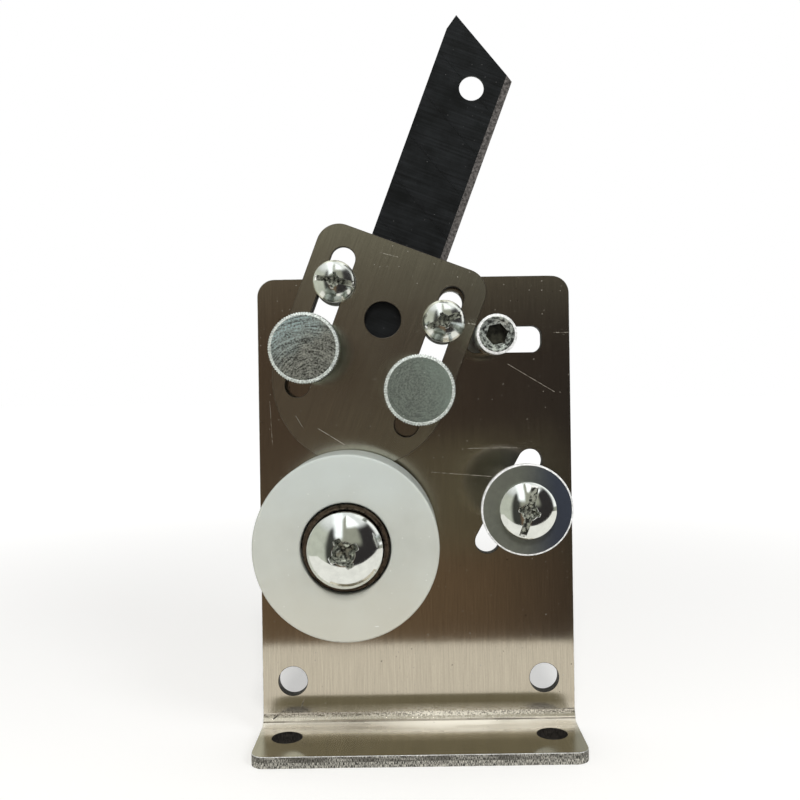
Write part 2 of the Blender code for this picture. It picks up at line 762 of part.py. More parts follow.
def build_axle(roller):
    bore = M8_SHANK + 2 * GAP
    spacer_length = BEARING_MIDDLE - BEARING_WIDTH / 2 - 2 * GAP
    spacer = ring("axle_spacer", INNER_RING_DIAMETER, bore, spacer_length)
    seat(spacer, roller, 0, 0, GAP)
    keep(spacer, ZINC)
    shim = ring("axle_shim", INNER_RING_DIAMETER, bore, SHIM_THICKNESS)
    shim_back = BEARING_MIDDLE + BEARING_WIDTH / 2 + GAP
    seat(shim, roller, 0, 0, shim_back)
    keep(shim, ZINC)

    under_head = shim_back + SHIM_THICKNESS + GAP
    length = screw_length(under_head, M8_WASHER_THICKNESS, M8_NUT_HEIGHT, M8_TAIL)
    screw = domed_screw("axle_screw", M8_SHANK, M8_HEAD_DIAMETER, M8_HEAD_HEIGHT, length)
    seat(screw, roller, 0, 0, under_head, AXLE_RECESS_TURN)
    keep(screw, CHROME)
    rear_hardware(roller, "axle", 0, 0, "M8")


def build_lower_guide(guide):
    """Screw in the slanted slot with a collar, a turning sleeve and a wide disc."""
    bore = M5_SLOT
    collar = ring("lower_guide_collar", LOWER_COLLAR_DIAMETER, bore, LOWER_COLLAR_THICKNESS)
    seat(collar, guide, 0, 0, GAP)
    keep(collar, ZINC)
    sleeve_back = LOWER_COLLAR_THICKNESS + 2 * GAP
    sleeve = ring("lower_guide_sleeve", LOWER_SLEEVE_DIAMETER, bore, LOWER_SLEEVE_LENGTH)
    seat(sleeve, guide, 0, 0, sleeve_back)
    keep(sleeve, ZINC)
    disc_back = sleeve_back + LOWER_SLEEVE_LENGTH + GAP
    disc = ring("lower_guide_disc", GUIDE_DISC_DIAMETER, bore, GUIDE_DISC_THICKNESS, GAP)
    seat(disc, guide, 0, 0, disc_back)
    keep(disc, CHROME)
    under_head = disc_back + GUIDE_DISC_THICKNESS + GAP
    length = screw_length(under_head, M5_WASHER_THICKNESS, M5_NUT_HEIGHT, M5_TAIL)
    screw = pan_screw("lower_guide_screw", GUIDE_HEAD_DIAMETER, GUIDE_HEAD_HEIGHT, length)
    seat(screw, guide, 0, 0, under_head, GUIDE_RECESS_TURN + LOWER_SLOT_TILT)
    keep(screw, CHROME)
    rear_hardware(guide, "lower_guide", 0, 0)


def build_upper_guide(guide):
    """Socket screw in the level slot with a thin turning sleeve."""
    bore = M5_SLOT
    sleeve = ring("upper_guide_sleeve", UPPER_SLEEVE_DIAMETER, bore, UPPER_SLEEVE_LENGTH)
    seat(sleeve, guide, 0, 0, GAP)
    keep(sleeve, ZINC)
    under_head = UPPER_SLEEVE_LENGTH + 2 * GAP
    length = screw_length(under_head, M5_WASHER_THICKNESS, M5_NUT_HEIGHT, M5_TAIL)
    radius = CAP_HEAD_DIAMETER / 2
    top = CAP_HEAD_HEIGHT
    chamfer = CAP_HEAD_CHAMFER
    profile = [(0, top), (radius - chamfer, top), (radius, top - chamfer), (radius, 0)]
    screw = turned("upper_guide_screw", profile + shank(M5_SHANK, length))
    socket = flat("hex_socket", [hex_points(HEX_SOCKET_FLATS)], HEX_SOCKET_DEPTH + OVERCUT)
    boolean(screw, socket)
    socket.location = (0, 0, top - HEX_SOCKET_DEPTH)
    seat(screw, guide, 0, 0, under_head)
    keep(screw, CHROME)
    rear_hardware(guide, "upper_guide", 0, 0)


def freeze(piece):
    """Turns a piece's modifiers into its mesh and shades its round sides smooth."""
    graph = bpy.context.evaluated_depsgraph_get()
    mesh = bpy.data.meshes.new_from_object(piece.evaluated_get(graph))
    mesh.shade_smooth()
    mesh.set_sharp_from_angle(angle=SHARP_ANGLE)
    return mesh


clear_scene()
machine = new_collection("cable_stripping_machine")
cutters = new_collection("cutters")

# Washer diameter and thickness, nut flats and height, and bore, of the pieces behind the plate
REAR_SIZES = {
    "M5": (M5_WASHER_DIAMETER, M5_WASHER_THICKNESS, M5_NUT_FLATS, M5_NUT_HEIGHT, M5_SLOT),
    "M8": (M8_WASHER_DIAMETER, M8_WASHER_THICKNESS, M8_NUT_FLATS, M8_NUT_HEIGHT, M8_SHANK + 2 * GAP),
}

# Places on the plate, from its sides
CLAMP_X = CLAMP_INSET - PLATE_WIDTH / 2
ROLLER_X = ROLLER_INSET - PLATE_WIDTH / 2
PLATE_HOLE_X = PLATE_WIDTH / 2 - PLATE_HOLE_INSET
FOOT_HOLE_X = PLATE_WIDTH / 2 - FOOT_HOLE_INSET
LOWER_SLOT_X = PLATE_WIDTH / 2 - LOWER_SLOT_INSET

# The upper guide stands clear of two neighbours: the clamp plate's right side, which leans
# with the clamp, and the right clamp screw's washer behind the plate
side_across = CLAMP_WIDTH / 2 + (UPPER_SLOT_HEIGHT - CLAMP_HEIGHT) * math.sin(CLAMP_TILT)
guide_across = side_across + UPPER_GUIDE_CLEARANCE + UPPER_SLEEVE_DIAMETER / 2
beside_clamp = guide_across / math.cos(CLAMP_TILT)
screw_out = Vector((CLAMP_SCREW_SPACING / 2, PAN_SCREW_UP))
screw_out.rotate(Matrix.Rotation(-CLAMP_TILT, 2))
washer_rise = CLAMP_HEIGHT + screw_out.y - UPPER_SLOT_HEIGHT
washer_reach = M5_WASHER_DIAMETER + GAP
beside_washer = screw_out.x + math.sqrt(max(0, washer_reach**2 - washer_rise**2))
UPPER_GUIDE_X = CLAMP_X + max(beside_clamp, beside_washer)
UPPER_SLOT_LEFT = UPPER_GUIDE_X - UPPER_SLOT_SPARE
UPPER_SLOT_RIGHT = PLATE_WIDTH / 2 - UPPER_SLOT_INSET

# Places that several pieces share
CLAMP_BACK = 2 * GAP + BLADE_THICKNESS
OUTER_RING_DIAMETER = ROLLER_SEAT_DIAMETER - 2 * GAP
PITCH_RADIUS = (INNER_RING_DIAMETER + OUTER_RING_BORE) / 4
BEARING_MIDDLE = ROLLER_STANDOFF + ROLLER_WIDTH - ROLLER_SEAT_RECESS - BEARING_WIDTH / 2

face_frame = frame_empty("plate_face")
face_frame.location = (0, FRONT_Y, 0)
face_frame.rotation_euler = (math.pi / 2, 0, 0)
clamp_frame = seat(frame_empty("clamp_axis"), face_frame, CLAMP_X, CLAMP_HEIGHT, 0, -CLAMP_TILT)
roller_frame = seat(frame_empty("roller_axis"), face_frame, ROLLER_X, ROLLER_HEIGHT, 0)
slot_frame = seat(
    frame_empty("lower_slot_axis"), face_frame, LOWER_SLOT_X, LOWER_SLOT_HEIGHT, 0, -LOWER_SLOT_TILT
)
lower_frame = seat(frame_empty("lower_guide_axis"), slot_frame, 0, LOWER_GUIDE_UP, 0)
upper_frame = seat(frame_empty("upper_guide_axis"), face_frame, UPPER_GUIDE_X, UPPER_SLOT_HEIGHT, 0)

build_bracket(face_frame)
build_clamp_plate(clamp_frame)
build_blade(clamp_frame)
build_clamp_hardware(clamp_frame)
build_roller(roller_frame)
build_bearing(roller_frame)
build_axle(roller_frame)
build_lower_guide(lower_frame)
build_upper_guide(upper_frame)

bpy.context.view_layer.update()
pieces = [piece for piece in machine.objects if piece.type == "MESH"]
meshes = [freeze(piece) for piece in pieces]
for piece, mesh in zip(pieces, meshes):
    piece.modifiers.clear()
    piece.data = mesh
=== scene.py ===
"""Looks of the cable stripping machine: fine metalwork, finishes, studio and camera.

Metres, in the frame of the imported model: +Z up, the plate faces -Y. Each new piece is
modelled as it looks from the front (x right, y up, z out of the plate) about its own
axis, and then stands on the plate's front face where its solid is.
"""
import contextlib
import json
from math import acos, asin, atan2, ceil, copysign, cos, pi, radians, sin, sqrt, tan

import bmesh
import bpy
from mathutils import Matrix, Vector


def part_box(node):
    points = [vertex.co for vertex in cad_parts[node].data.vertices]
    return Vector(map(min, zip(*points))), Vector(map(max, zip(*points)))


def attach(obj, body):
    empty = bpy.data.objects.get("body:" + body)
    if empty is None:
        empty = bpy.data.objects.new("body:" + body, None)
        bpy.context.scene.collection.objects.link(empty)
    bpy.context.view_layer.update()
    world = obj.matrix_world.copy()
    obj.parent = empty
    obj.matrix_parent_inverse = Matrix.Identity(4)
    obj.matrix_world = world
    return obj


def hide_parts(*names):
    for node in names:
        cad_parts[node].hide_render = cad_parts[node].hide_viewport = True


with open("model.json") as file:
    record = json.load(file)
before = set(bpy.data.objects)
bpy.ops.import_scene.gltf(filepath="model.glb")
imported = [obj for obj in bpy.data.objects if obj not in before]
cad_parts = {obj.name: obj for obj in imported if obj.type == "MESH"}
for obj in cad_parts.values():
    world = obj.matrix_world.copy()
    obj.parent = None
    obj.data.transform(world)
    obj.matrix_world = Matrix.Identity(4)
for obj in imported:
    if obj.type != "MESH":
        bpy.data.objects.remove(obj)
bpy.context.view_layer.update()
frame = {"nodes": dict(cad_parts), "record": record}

# Driving dimensions of the sheet metal, as in the solids
GAP = 0.0003
SHEET = 0.0025
BEND_RADIUS = 0.0018
INNER_BEND = 0.0026
CREASE_HEIGHT = 0.0032
SHEET_EDGE = 0.00025
PLATE_CORNER = 0.004
FOOT_CORNER = 0.003
BOLT_HOLE_DIAMETER = 0.0066
PLATE_HOLE_X = 0.0286
PLATE_HOLE_HEIGHT = 0.0122
FOOT_HOLE_X = 0.029
FOOT_HOLE_REACH = 0.0081
SCREW_SPACING = 0.0261
BRACKET_SLOT = (-0.0149, 0.009)
LOWER_SLOT = (0.0161, 0.0434)
LOWER_SLOT_TRAVEL = 0.0207
LEVEL_SLOT = (0.0119, 0.0291)
LEVEL_SLOT_HEIGHT = 0.0893
LEVEL_SLOT_WIDTH = 0.006
LEVEL_SLOT_CORNER = 0.0022

# Clamp plate and blade, about the sight hole
SIGHT_HOLE = (-0.0069, 0.094)
SIGHT_HOLE_DIAMETER = 0.0082
CLAMP_THICKNESS = 0.0015
CLAMP_WIDTH = 0.0402
CLAMP_TOP = 0.0173
CLAMP_BOTTOM_CENTRE = -0.014
CLAMP_CORNER = 0.0052
CLAMP_EDGE = 0.00014
CLAMP_SLOT = (-0.0204, 0.0098)
BLADE_WIDTH = 0.018
BLADE_LENGTH = 0.1
BLADE_THICKNESS = 0.0006
BLADE_TOP = 0.0713
BLADE_SLANT = radians(30)
BLADE_GRIND = 0.0016
BLADE_TIP_TRIM = 0.0022
BLADE_HOLE_DIAMETER = 0.0056
BLADE_HOLE_PLACE = (0.0009, 0.0563)
SCORE_SPACING = 0.01
SCORE_WIDTH = 0.00016
SCORE_DEPTH = 0.00006

# Screws: shank diameter and thread pitch, bores round them, nuts' width and bore, and heads.
# Recesses are shares of the head's diameter and height
M5 = (0.0049, 0.0008)
M8 = (0.008, 0.00125)
M5_BORE = 0.0055
M8_BORE = 0.0086
M5_NUT = (0.008, 0.00505)
M8_NUT = (0.013, 0.00815)
DOME_HEIGHT = 0.0037
AXLE_DOME_HEIGHT = 0.0058
DOME_RIM = 0.33
RECESS_SPAN = 0.55
RECESS_ARM = 0.13
RECESS_DEPTH = 0.65
RECESS_TAPER = 0.45
SLOT_DEPTH = 0.55
HOLLOW_MOUTH = 0.19
HOLLOW_FLOOR = 0.12
THUMB_HEAD_HEIGHT = 0.0055
THUMB_CHAMFER = 0.0007
THUMB_DISH = 0.0001
THUMB_COLLAR_DIAMETER = 0.01
THUMB_COLLAR_HEIGHT = 0.0071
KNURL_TEETH = 84
KNURL_DEPTH = 0.00025
KNURL_ROOT = 0.00022
CAP_HEAD_HEIGHT = 0.005
CAP_RIM = 0.00042
HEX_SOCKET_FLATS = 0.004
HEX_SOCKET_DEPTH = 0.0026
HEX_SOCKET_TURN = radians(10)
ROLLER_SEAT = 0.0095
ROLLER_BORE = 0.0075

# Fineness of the visible meshes
CHORD_ERROR = 0.000008
MERGE = 0.000001
OVERCUT = 0.002
SHARP = radians(35)
SQUARE_ON = 0.99
DOME_STEPS = 24
GRAIN_SCALE = 10

# The photograph's camera: distance from the plate, place, roll and lens
CAMERA_DISTANCE = 0.205
CAMERA_X = -0.00099
CAMERA_HEIGHT = 0.07923
CAMERA_ROLL = radians(0.85)
CAMERA_LENS = 40.5
CAMERA_SENSOR = 36
CAMERA_SHIFT = (-0.0125, -0.01875)

# The floor, and how far the white sheet that it shows only in reflections, a painted reflection, reaches in
# front of the plate and to its sides
FLOOR_SIZE = 8
REFLECTED_SHEET_REACH = 0.0715
REFLECTED_SHEET_SIDES = (-0.18, 0.4)
LAMP_TARGET = Vector((0, 0, 0.07))

bracket_low, bracket_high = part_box("base_bracket")
FRONT_Y = bracket_high.y - SHEET
FOOT_REACH = FRONT_Y - bracket_low.y
PLATE_WIDTH = bracket_high.x - bracket_low.x
PLATE_TOP = bracket_high.z

record = frame["record"]
behaviour = record["behaviour"]
tilt_of = {joint["name"]: atan2(joint["axis"][0], joint["axis"][2]) for joint in behaviour["joints"]}
CLAMP_TILT = tilt_of["clamp_slide"]
LOWER_SLOT_TILT = tilt_of["lower_guide_slide"]
body_of_node = {node: body for body, nodes in behaviour["bodies"].items() for node in nodes}


# Outlines

def facets(radius):
    half_step = acos(1 - CHORD_ERROR / radius)
    return 4 * max(6, ceil(pi / half_step / 4))


def arc(x, y, radius, start, sweep):
    steps = max(3, round(facets(radius) * abs(sweep) / (2 * pi)))
    angles = [start + sweep * step / steps for step in range(steps + 1)]
    return [(x + radius * cos(angle), y + radius * sin(angle)) for angle in angles]


def circle(diameter):
    return arc(0, 0, diameter / 2, 0, 2 * pi)[:-1]


def rounded(corners, closed=True):
    """Outline through corners (x, y, radius), each rounded by its own radius."""
    points = []
    last = len(corners) - 1
    for index, (x, y, radius) in enumerate(corners):
        end = not closed and index in (0, last)
        if radius == 0 or end:
            points.append((x, y))
            continue
        here = Vector((x, y))
        to_last = (Vector(corners[index - 1][:2]) - here).normalized()
        to_next = (Vector(corners[(index + 1) % len(corners)][:2]) - here).normalized()
        half = to_last.angle(to_next) / 2
        centre = here + (to_last + to_next).normalized() * radius / sin(half)
        spoke = here + to_last * radius / tan(half) - centre
        sweep = copysign(pi - 2 * half, to_next.cross(to_last))
        points += arc(centre.x, centre.y, radius, atan2(spoke.y, spoke.x), sweep)
    return points


def oblong(left, right, low, high, corner=0):
    return rounded([(left, low, corner), (right, low, corner), (right, high, corner), (left, high, corner)])


def hexagon(flats):
    corner = flats / sqrt(3)
    return [(corner * cos(pi / 3 * n), corner * sin(pi / 3 * n)) for n in range(6)]


def slot(low, high, width, x=0):
    return arc(x, high, width / 2, 0, pi) + arc(x, low, width / 2, pi, pi)


# Meshes

def link(name, data):
    piece = bpy.data.objects.new(name, data)
    bpy.context.scene.collection.objects.link(piece)
    return piece


@contextlib.contextmanager
def reshaped(mesh):
    """Opens a mesh for editing, and closes it with its faces turned outward."""
    work = bmesh.new()
    work.from_mesh(mesh)
    yield work
    bmesh.ops.recalc_face_normals(work, faces=work.faces)
    work.to_mesh(mesh)
    work.free()


def evaluated_mesh(piece):
    bpy.context.view_layer.update()
    graph = bpy.context.evaluated_depsgraph_get()
    return bpy.data.meshes.new_from_object(piece.evaluated_get(graph))


def apply_modifiers(piece):
    mesh = evaluated_mesh(piece)
    piece.modifiers.clear()
    piece.data = mesh


def flat(name, outlines, thickness):
    """Flat piece from z = 0 to its thickness; inner outlines are holes."""
    curve = bpy.data.curves.new(name, "CURVE")
    curve.dimensions = "2D"
    curve.fill_mode = "BOTH"
    curve.extrude = thickness / 2
    for outline in outlines:
        spline = curve.splines.new("POLY")
        spline.points.add(len(outline) - 1)
        for point, (x, y) in zip(spline.points, outline):
            point.co = (x, y, 0, 1)
        spline.use_cyclic_u = True
    drawing = link(name, curve)
    mesh = evaluated_mesh(drawing)
    bpy.data.objects.remove(drawing)
    mesh.transform(Matrix.Translation((0, 0, thickness / 2)))
    with reshaped(mesh) as work:
        bmesh.ops.remove_doubles(work, verts=work.verts, dist=MERGE)
        flat_enough = radians(0.5)
        bmesh.ops.dissolve_limit(work, angle_limit=flat_enough, verts=work.verts, edges=work.edges)
    mesh.name = name
    return link(name, mesh)


def turned(name, profile, closed=False, steps=None, ripple=None):
    """Turned piece round z from its (radius, z) profile; ripple changes a radius by step."""
    steps = steps or facets(max(radius for radius, z in profile))
    mesh = bpy.data.meshes.new(name)
    with reshaped(mesh) as work:
        rings = []
        for radius, z in profile:
            if radius == 0:
                rings.append([work.verts.new((0, 0, z))] * steps)
                continue
            ring = []
            for step in range(steps):
                angle = 2 * pi * step / steps
                here = ripple(radius, step) if ripple else radius
                ring.append(work.verts.new((here * cos(angle), here * sin(angle), z)))
            rings.append(ring)
        below = rings[1:] + rings[:1] if closed else rings[1:]
        for upper, lower in zip(rings, below):
            for step in range(steps):
                after = (step + 1) % steps
                corners = dict.fromkeys([upper[step], lower[step], lower[after], upper[after]])
                if len(corners) > 2:
                    work.faces.new(list(corners))
    return link(name, mesh)


def cut(piece, tool, x=0, y=0, z=0, turn=0, tilt=0, operation="DIFFERENCE"):
    """Cuts a tool, placed in the piece's frame, out of it, or leaves only what both share."""
    place = Matrix.Translation((x, y, z)) @ Matrix.Rotation(turn, 4, "Z") @ Matrix.Rotation(tilt, 4, "X")
    tool.matrix_world = piece.matrix_world @ place
    change = piece.modifiers.new("cut", "BOOLEAN")
    change.operation = operation
    change.object = tool
    apply_modifiers(piece)
    bpy.data.objects.remove(tool)


@contextlib.contextmanager
def same_numbers(piece):
    """Keeps each face's number of its look through a change."""
    numbers = [face.material_index for face in piece.data.polygons]
    yield
    for face, number in zip(piece.data.polygons, numbers):
        face.material_index = number


def sort_faces(piece, number_of):
    """Gives each face the number of its look."""
    numbers = [number_of(face) for face in piece.data.polygons]
    for index in range(max(numbers) + 1):
        piece.data.materials.append(None)
    for face, number in zip(piece.data.polygons, numbers):
        face.material_index = number


def shade(piece, angle=SHARP):
    """Smooth shading that keeps sharp edges, and keeps flat faces flat to the eye."""
    piece.data.shade_smooth()
    piece.data.set_sharp_from_angle(angle=angle)
    weight = piece.modifiers.new("weight", "WEIGHTED_NORMAL")
    weight.keep_sharp = True
    weight.weight = 100
    with same_numbers(piece):
        apply_modifiers(piece)


def soften(piece, width, segments=2, angle=radians(40), **settings):
    """Rounds a piece's sharp edges and shades it."""
    edges = piece.modifiers.new("edges", "BEVEL")
    edges.width = width
    edges.segments = segments
    edges.limit_method = "ANGLE"
    edges.angle_limit = angle
    for name, value in settings.items():
        setattr(edges, name, value)
    apply_modifiers(piece)
    shade(piece)


# Places on the plate

def axis_of(node):
    """A turned solid's x and height."""
    low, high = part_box(node)
    return (low.x + high.x) / 2, (low.z + high.z) / 2


def span_of(node):
    """A turned solid's back and front out of the plate, and its diameter."""
    low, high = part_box(node)
    return FRONT_Y - high.y, FRONT_Y - low.y, high.x - low.x


def put(piece, node, out, *looks, place=None, turn=0):
    """Stands a new piece a distance out of the plate's face, instead of its CAD node."""
    x, height = place or axis_of(node)
    piece.name = "fine_" + node
    piece.data.transform(Matrix.Rotation(turn, 4, "Z"))
    foot = Matrix.Translation((x, FRONT_Y - out, height))
    piece.matrix_world = foot @ Matrix.Rotation(pi / 2, 4, "X")
    with same_numbers(piece):
        piece.data.materials.clear()
        for look in looks:
            piece.data.materials.append(look)
    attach(piece, body_of_node[node])
    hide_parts(node)


# Node helpers

def arithmetic(operation):
    return lambda first, second=0: first.shading.math(operation, first, second)


class Value:
    """A node's output, with arithmetic that adds the nodes it takes. The larger of two
    masks is mask | mask."""

    __add__ = arithmetic("ADD")
    __sub__ = arithmetic("SUBTRACT")
    __mul__ = arithmetic("MULTIPLY")
    __gt__ = arithmetic("GREATER_THAN")
    __lt__ = arithmetic("LESS_THAN")
    __or__ = arithmetic("MAXIMUM")
    __abs__ = arithmetic("ABSOLUTE")

    def __init__(self, shading, socket):
        self.shading = shading
        self.socket = socket

    def __rsub__(self, other):
        return self.shading.math("SUBTRACT", other, self)

    def between(self, low, high):
        """1 between two bounds."""
        return (self > low) * (self < high)

    def spread(self, from_low, from_high, low=0, high=1, kind="LINEAR"):
        """Maps a range of the value onto low to high."""
        ends = {"Value": self, "From Min": from_low, "From Max": from_high, "To Min": low, "To Max": high}
        return self.shading.value("MapRange", "Result", ends, interpolation_type=kind)

    def ease(self, from_low, from_high, low=0, high=1):
        return self.spread(from_low, from_high, low, high, "SMOOTHSTEP")


class Shading:
    """The nodes of a material or the world."""

    def __init__(self, owner, shader):
        owner.use_nodes = True
        self.nodes = owner.node_tree.nodes
        self.links = owner.node_tree.links
        self.shader = self.nodes[shader]

    def add(self, kind, inputs=(), **settings):
        node = self.nodes.new("ShaderNode" + kind)
        for name, value in settings.items():
            setattr(node, name, value)
        for socket, value in dict(inputs).items():
            self.feed(node, socket, value)
        return node

    def value(self, kind, output, inputs=(), **settings):
        return Value(self, self.add(kind, inputs, **settings).outputs[output])

    def feed(self, node, socket, value):
        """Links a value to a node's input, or sets a plain number or colour there."""
        if isinstance(value, Value):
            self.links.new(value.socket, node.inputs[socket])
        else:
            node.inputs[socket].default_value = value

    def set(self, socket, value):
        self.feed(self.shader, socket, value)

    def math(self, operation, first, second=0, clamp=False):
        return self.value("Math", 0, {0: first, 1: second}, operation=operation, use_clamp=clamp)

    def vector(self, operation, first, second=(0, 0, 0)):
        """Vector arithmetic; lengths, distances and dot products come out as numbers."""
        output = "Value" if operation in ("LENGTH", "DISTANCE", "DOT_PRODUCT") else "Vector"
        other = "Scale" if operation == "SCALE" else 1
        return self.value("VectorMath", output, {0: first, other: second}, operation=operation)

    def split(self, vector):
        return [Value(self, socket) for socket in self.add("SeparateXYZ", {0: vector}).outputs]

    def join(self, x, y, z=0):
        return self.value("CombineXYZ", 0, {"X": x, "Y": y, "Z": z})

    def ray(self, kind):
        return self.value("LightPath", "Is %s Ray" % kind)

    def ramp(self, value, *stops):
        """Colours along a value, from (position, colour) stops."""
        node = self.add("ValToRGB", {"Fac": value})
        elements = node.color_ramp.elements
        for element, (position, colour) in zip(elements, (stops[0], stops[-1])):
            element.position = position
            element.color = (*colour, 1)
        for position, colour in stops[1:-1]:
            elements.new(position).color = (*colour, 1)
        return Value(self, node.outputs["Color"])

    def cover(self, colour, mask=None):
        """Lays a colour over everything, or where a mask is 1."""
        paint = colour if isinstance(colour, Value) else (*colour, 1)
        if mask is not None:
            inputs = {"Factor": mask, "A": self.paint, "B": paint}
            paint = self.value("Mix", "Result", inputs, data_type="RGBA")
        self.paint = paint
        self.feed(*self.painted, paint)


class Look(Shading):
    """A material with helpers that add its procedural detail."""

    def __init__(self, name, colour, roughness, metallic=0, turn=0):
        self.material = bpy.data.materials.new(name)
        super().__init__(self.material, "Principled BSDF")
        self.colour = colour
        self.turn = turn
        self.relief = None
        self.painted = (self.shader, "Base Color")
        self.cover(colour)
        self.set("Roughness", roughness)
        self.set("Metallic", metallic)

    def place(self):
        """The piece's own coordinates in metres, straight again where the piece is turned."""
        inputs = {"Vector": self.value("TexCoord", "Object"), "Angle": -self.turn}
        return self.value("VectorRotate", "Vector", inputs, rotation_type="Z_AXIS")

    def on_face(self, origin):
        """The place on the piece's face, measured from another origin."""
        return self.vector("MULTIPLY", self.vector("SUBTRACT", self.place(), (*origin, 0)), (1, 1, 0))

    def noise(self, scale, detail=3, roughness=0.6, place=None):
        """Noise whose features are 1/scale metres long, on every axis or on each."""
        scales = scale if isinstance(scale, tuple) else (scale, scale, scale)
        where = self.vector("MULTIPLY", place or self.place(), scales)
        inputs = {"Vector": where, "Scale": 1, "Detail": detail, "Roughness": roughness}
        return self.value("TexNoise", "Fac", inputs)

    def turning(self, spacing, arcs, centre=(0, 0)):
        """Marks of a turning tool round the piece's axis or another centre, broken into arcs."""
        across = self.on_face(centre)
        radius = self.vector("LENGTH", across) * (1 / spacing)
        heading = self.vector("SCALE", self.vector("NORMALIZE", across), arcs)
        return self.noise(1, detail=4, place=self.join(radius, *self.split(heading)[:2]))

    def specks(self, cell, size, share):
        """Scattered dots of uneven strength: one in some of the cells of a warped grid."""
        x, y, z = self.split(self.vector("SCALE", self.place(), 1 / cell))
        warp = self.noise(0.25 / cell, detail=1) * 3
        inputs = {"Scale": 1, "Vector": self.join(x + warp, y - z)}
        grid = self.add("TexVoronoi", inputs, voronoi_dimensions="2D")
        distance = Value(self, grid.outputs["Distance"])
        dot = distance.spread(0.35 * size / cell, 0.6 * size / cell, 1, 0)
        pick, strength, rest = self.split(Value(self, grid.outputs["Color"]))
        return dot * (pick < share) * strength

    def scratch(self, start, end, width):
        """A broken line on the piece's face, between two places in metres."""
        line = Vector(end) - Vector(start)
        here = self.on_face(start)
        along = self.vector("DOT_PRODUCT", here, (*(line / line.length_squared), 0))
        nearest = self.vector("SCALE", (*line, 0), self.math("ADD", along, 0, clamp=True))
        body = self.vector("DISTANCE", here, nearest).spread(0.3 * width, 0.6 * width, 1, 0)
        return body * self.noise(900, detail=2).spread(0.4, 0.6, 0.15, 1)

    def tint(self, value, dark, light, low=0.3, high=0.7):
        """Colours the surface from a dark to a light share of its colour, along a value."""
        shades = [[min(1, part * share) for part in self.colour] for share in (dark, light)]
        self.cover(self.ramp(value.spread(low, high), (0, shades[0]), (1, shades[1])))

    def rough(self, value, low, high):
        self.set("Roughness", value.spread(0.3, 0.7, low, high))

    def bump(self, value, depth):
        """Adds relief of a depth in metres, on top of what is there."""
        inputs = {"Distance": depth, "Height": value}
        if self.relief:
            inputs["Normal"] = self.relief
        self.relief = self.value("Bump", "Normal", inputs)
        self.set("Normal", self.relief)

    def smear(self, amount, **direction):
        """Draws reflections out round the piece's axis, or in another direction."""
        settings = direction or {"direction_type": "RADIAL", "axis": "Z"}
        self.set("Anisotropic", amount)
        self.set("Tangent", self.value("Tangent", "Tangent", **settings))


# Finishes of the sheet metal

MATT_ROUGHNESS = 0.5
# Colours: a painted highlight on the bend and on the foot in front of it, painted shade along the crease
# with dark dashes on the ridge, then real dust, dirt, scratches, stains and torn metal
BEND_HIGHLIGHT_COLOUR = (0.96, 0.92, 0.81)
FOOT_HIGHLIGHT_REACH = (0.004, 0.0085)
CREASE_SHADE_AND_DASH_COLOUR = (0.1, 0.08, 0.06)
DUST_COLOUR = (0.42, 0.4, 0.34)
DIRT_COLOUR = (0.06, 0.05, 0.04)
SCRATCH_COLOUR = (0.35, 0.33, 0.28)
STAIN_COLOUR = (0.03, 0.025, 0.02)
TORN_COLOUR = (0.07, 0.065, 0.055)

# The bend's painted highlight and its matt wear are strongest round a middle, in full up to one distance
# and least at another
BEND_HIGHLIGHT_CENTRE = 0.009
BEND_HIGHLIGHT_SIDES = (0.004, 0.026)

# How matt the bend is at each height, and how strongly it is painted pale as a painted highlight: a pale
# ridge with softer bands below and above it
BEND_BANDS = (
    (CREASE_HEIGHT - 0.0001, 0), (0.0034, 0.45), (0.0039, 0.5),
    (0.0041, 1), (0.0047, 1), (0.005, 0.6), (0.0069, 0),
)


def bend_matt_and_painted_light(look):
    """A bent sheet's matt, pitted ridge over the crease, painted pale as a painted highlight, with painted
    shade along the crease and a painted highlight on the foot in front of it.
    """
    x, height, out = look.split(look.place())
    in_front = out > -SHEET / 2
    middle = abs(x - BEND_HIGHLIGHT_CENTRE).ease(*BEND_HIGHLIGHT_SIDES, 1, 0.55)
    pits = look.noise((3000, 2200, 3000))
    breakup = look.noise((75, 300, 300))
    dashes = look.noise((1100, 4500, 4500), detail=2)

    lowest, highest = BEND_BANDS[0][0], BEND_BANDS[-1][0]
    stops = [((at - lowest) / (highest - lowest), (share,) * 3) for at, share in BEND_BANDS]
    bands = look.ramp(height.spread(lowest, highest), *stops) * in_front
    pale = pits.spread(0.36, 0.56, 0.4, 1) * breakup.spread(0.38, 0.55, 0.8, 1)
    on_foot = height.spread(CREASE_HEIGHT - 0.0002, CREASE_HEIGHT, 1, 0)
    foot_highlight = on_foot * out.ease(*FOOT_HIGHLIGHT_REACH, 1, 0) * in_front
    streaky = foot_highlight * breakup.spread(0.38, 0.5, 0.75, 1)
    dull = (bands * pale | streaky) * middle
    # Painted highlight: a pale, hardly metallic colour on the ridge and on the foot's first millimetres
    look.cover(BEND_HIGHLIGHT_COLOUR, dull)

    look.cover(CREASE_SHADE_AND_DASH_COLOUR, bands.spread(0.8, 0.95) * dashes.spread(0.55, 0.62, 0, 0.8))
    # Painted shade: a dark line along the crease
    crease_shade = abs(height - CREASE_HEIGHT).spread(0.00004, 0.00016, 1, 0) * in_front
    look.cover(CREASE_SHADE_AND_DASH_COLOUR, crease_shade * breakup.spread(0.45, 0.55, 0.9, 0.4))
    look.bump(bands * pits, 0.00003)
    return dull | crease_shade * 0.8


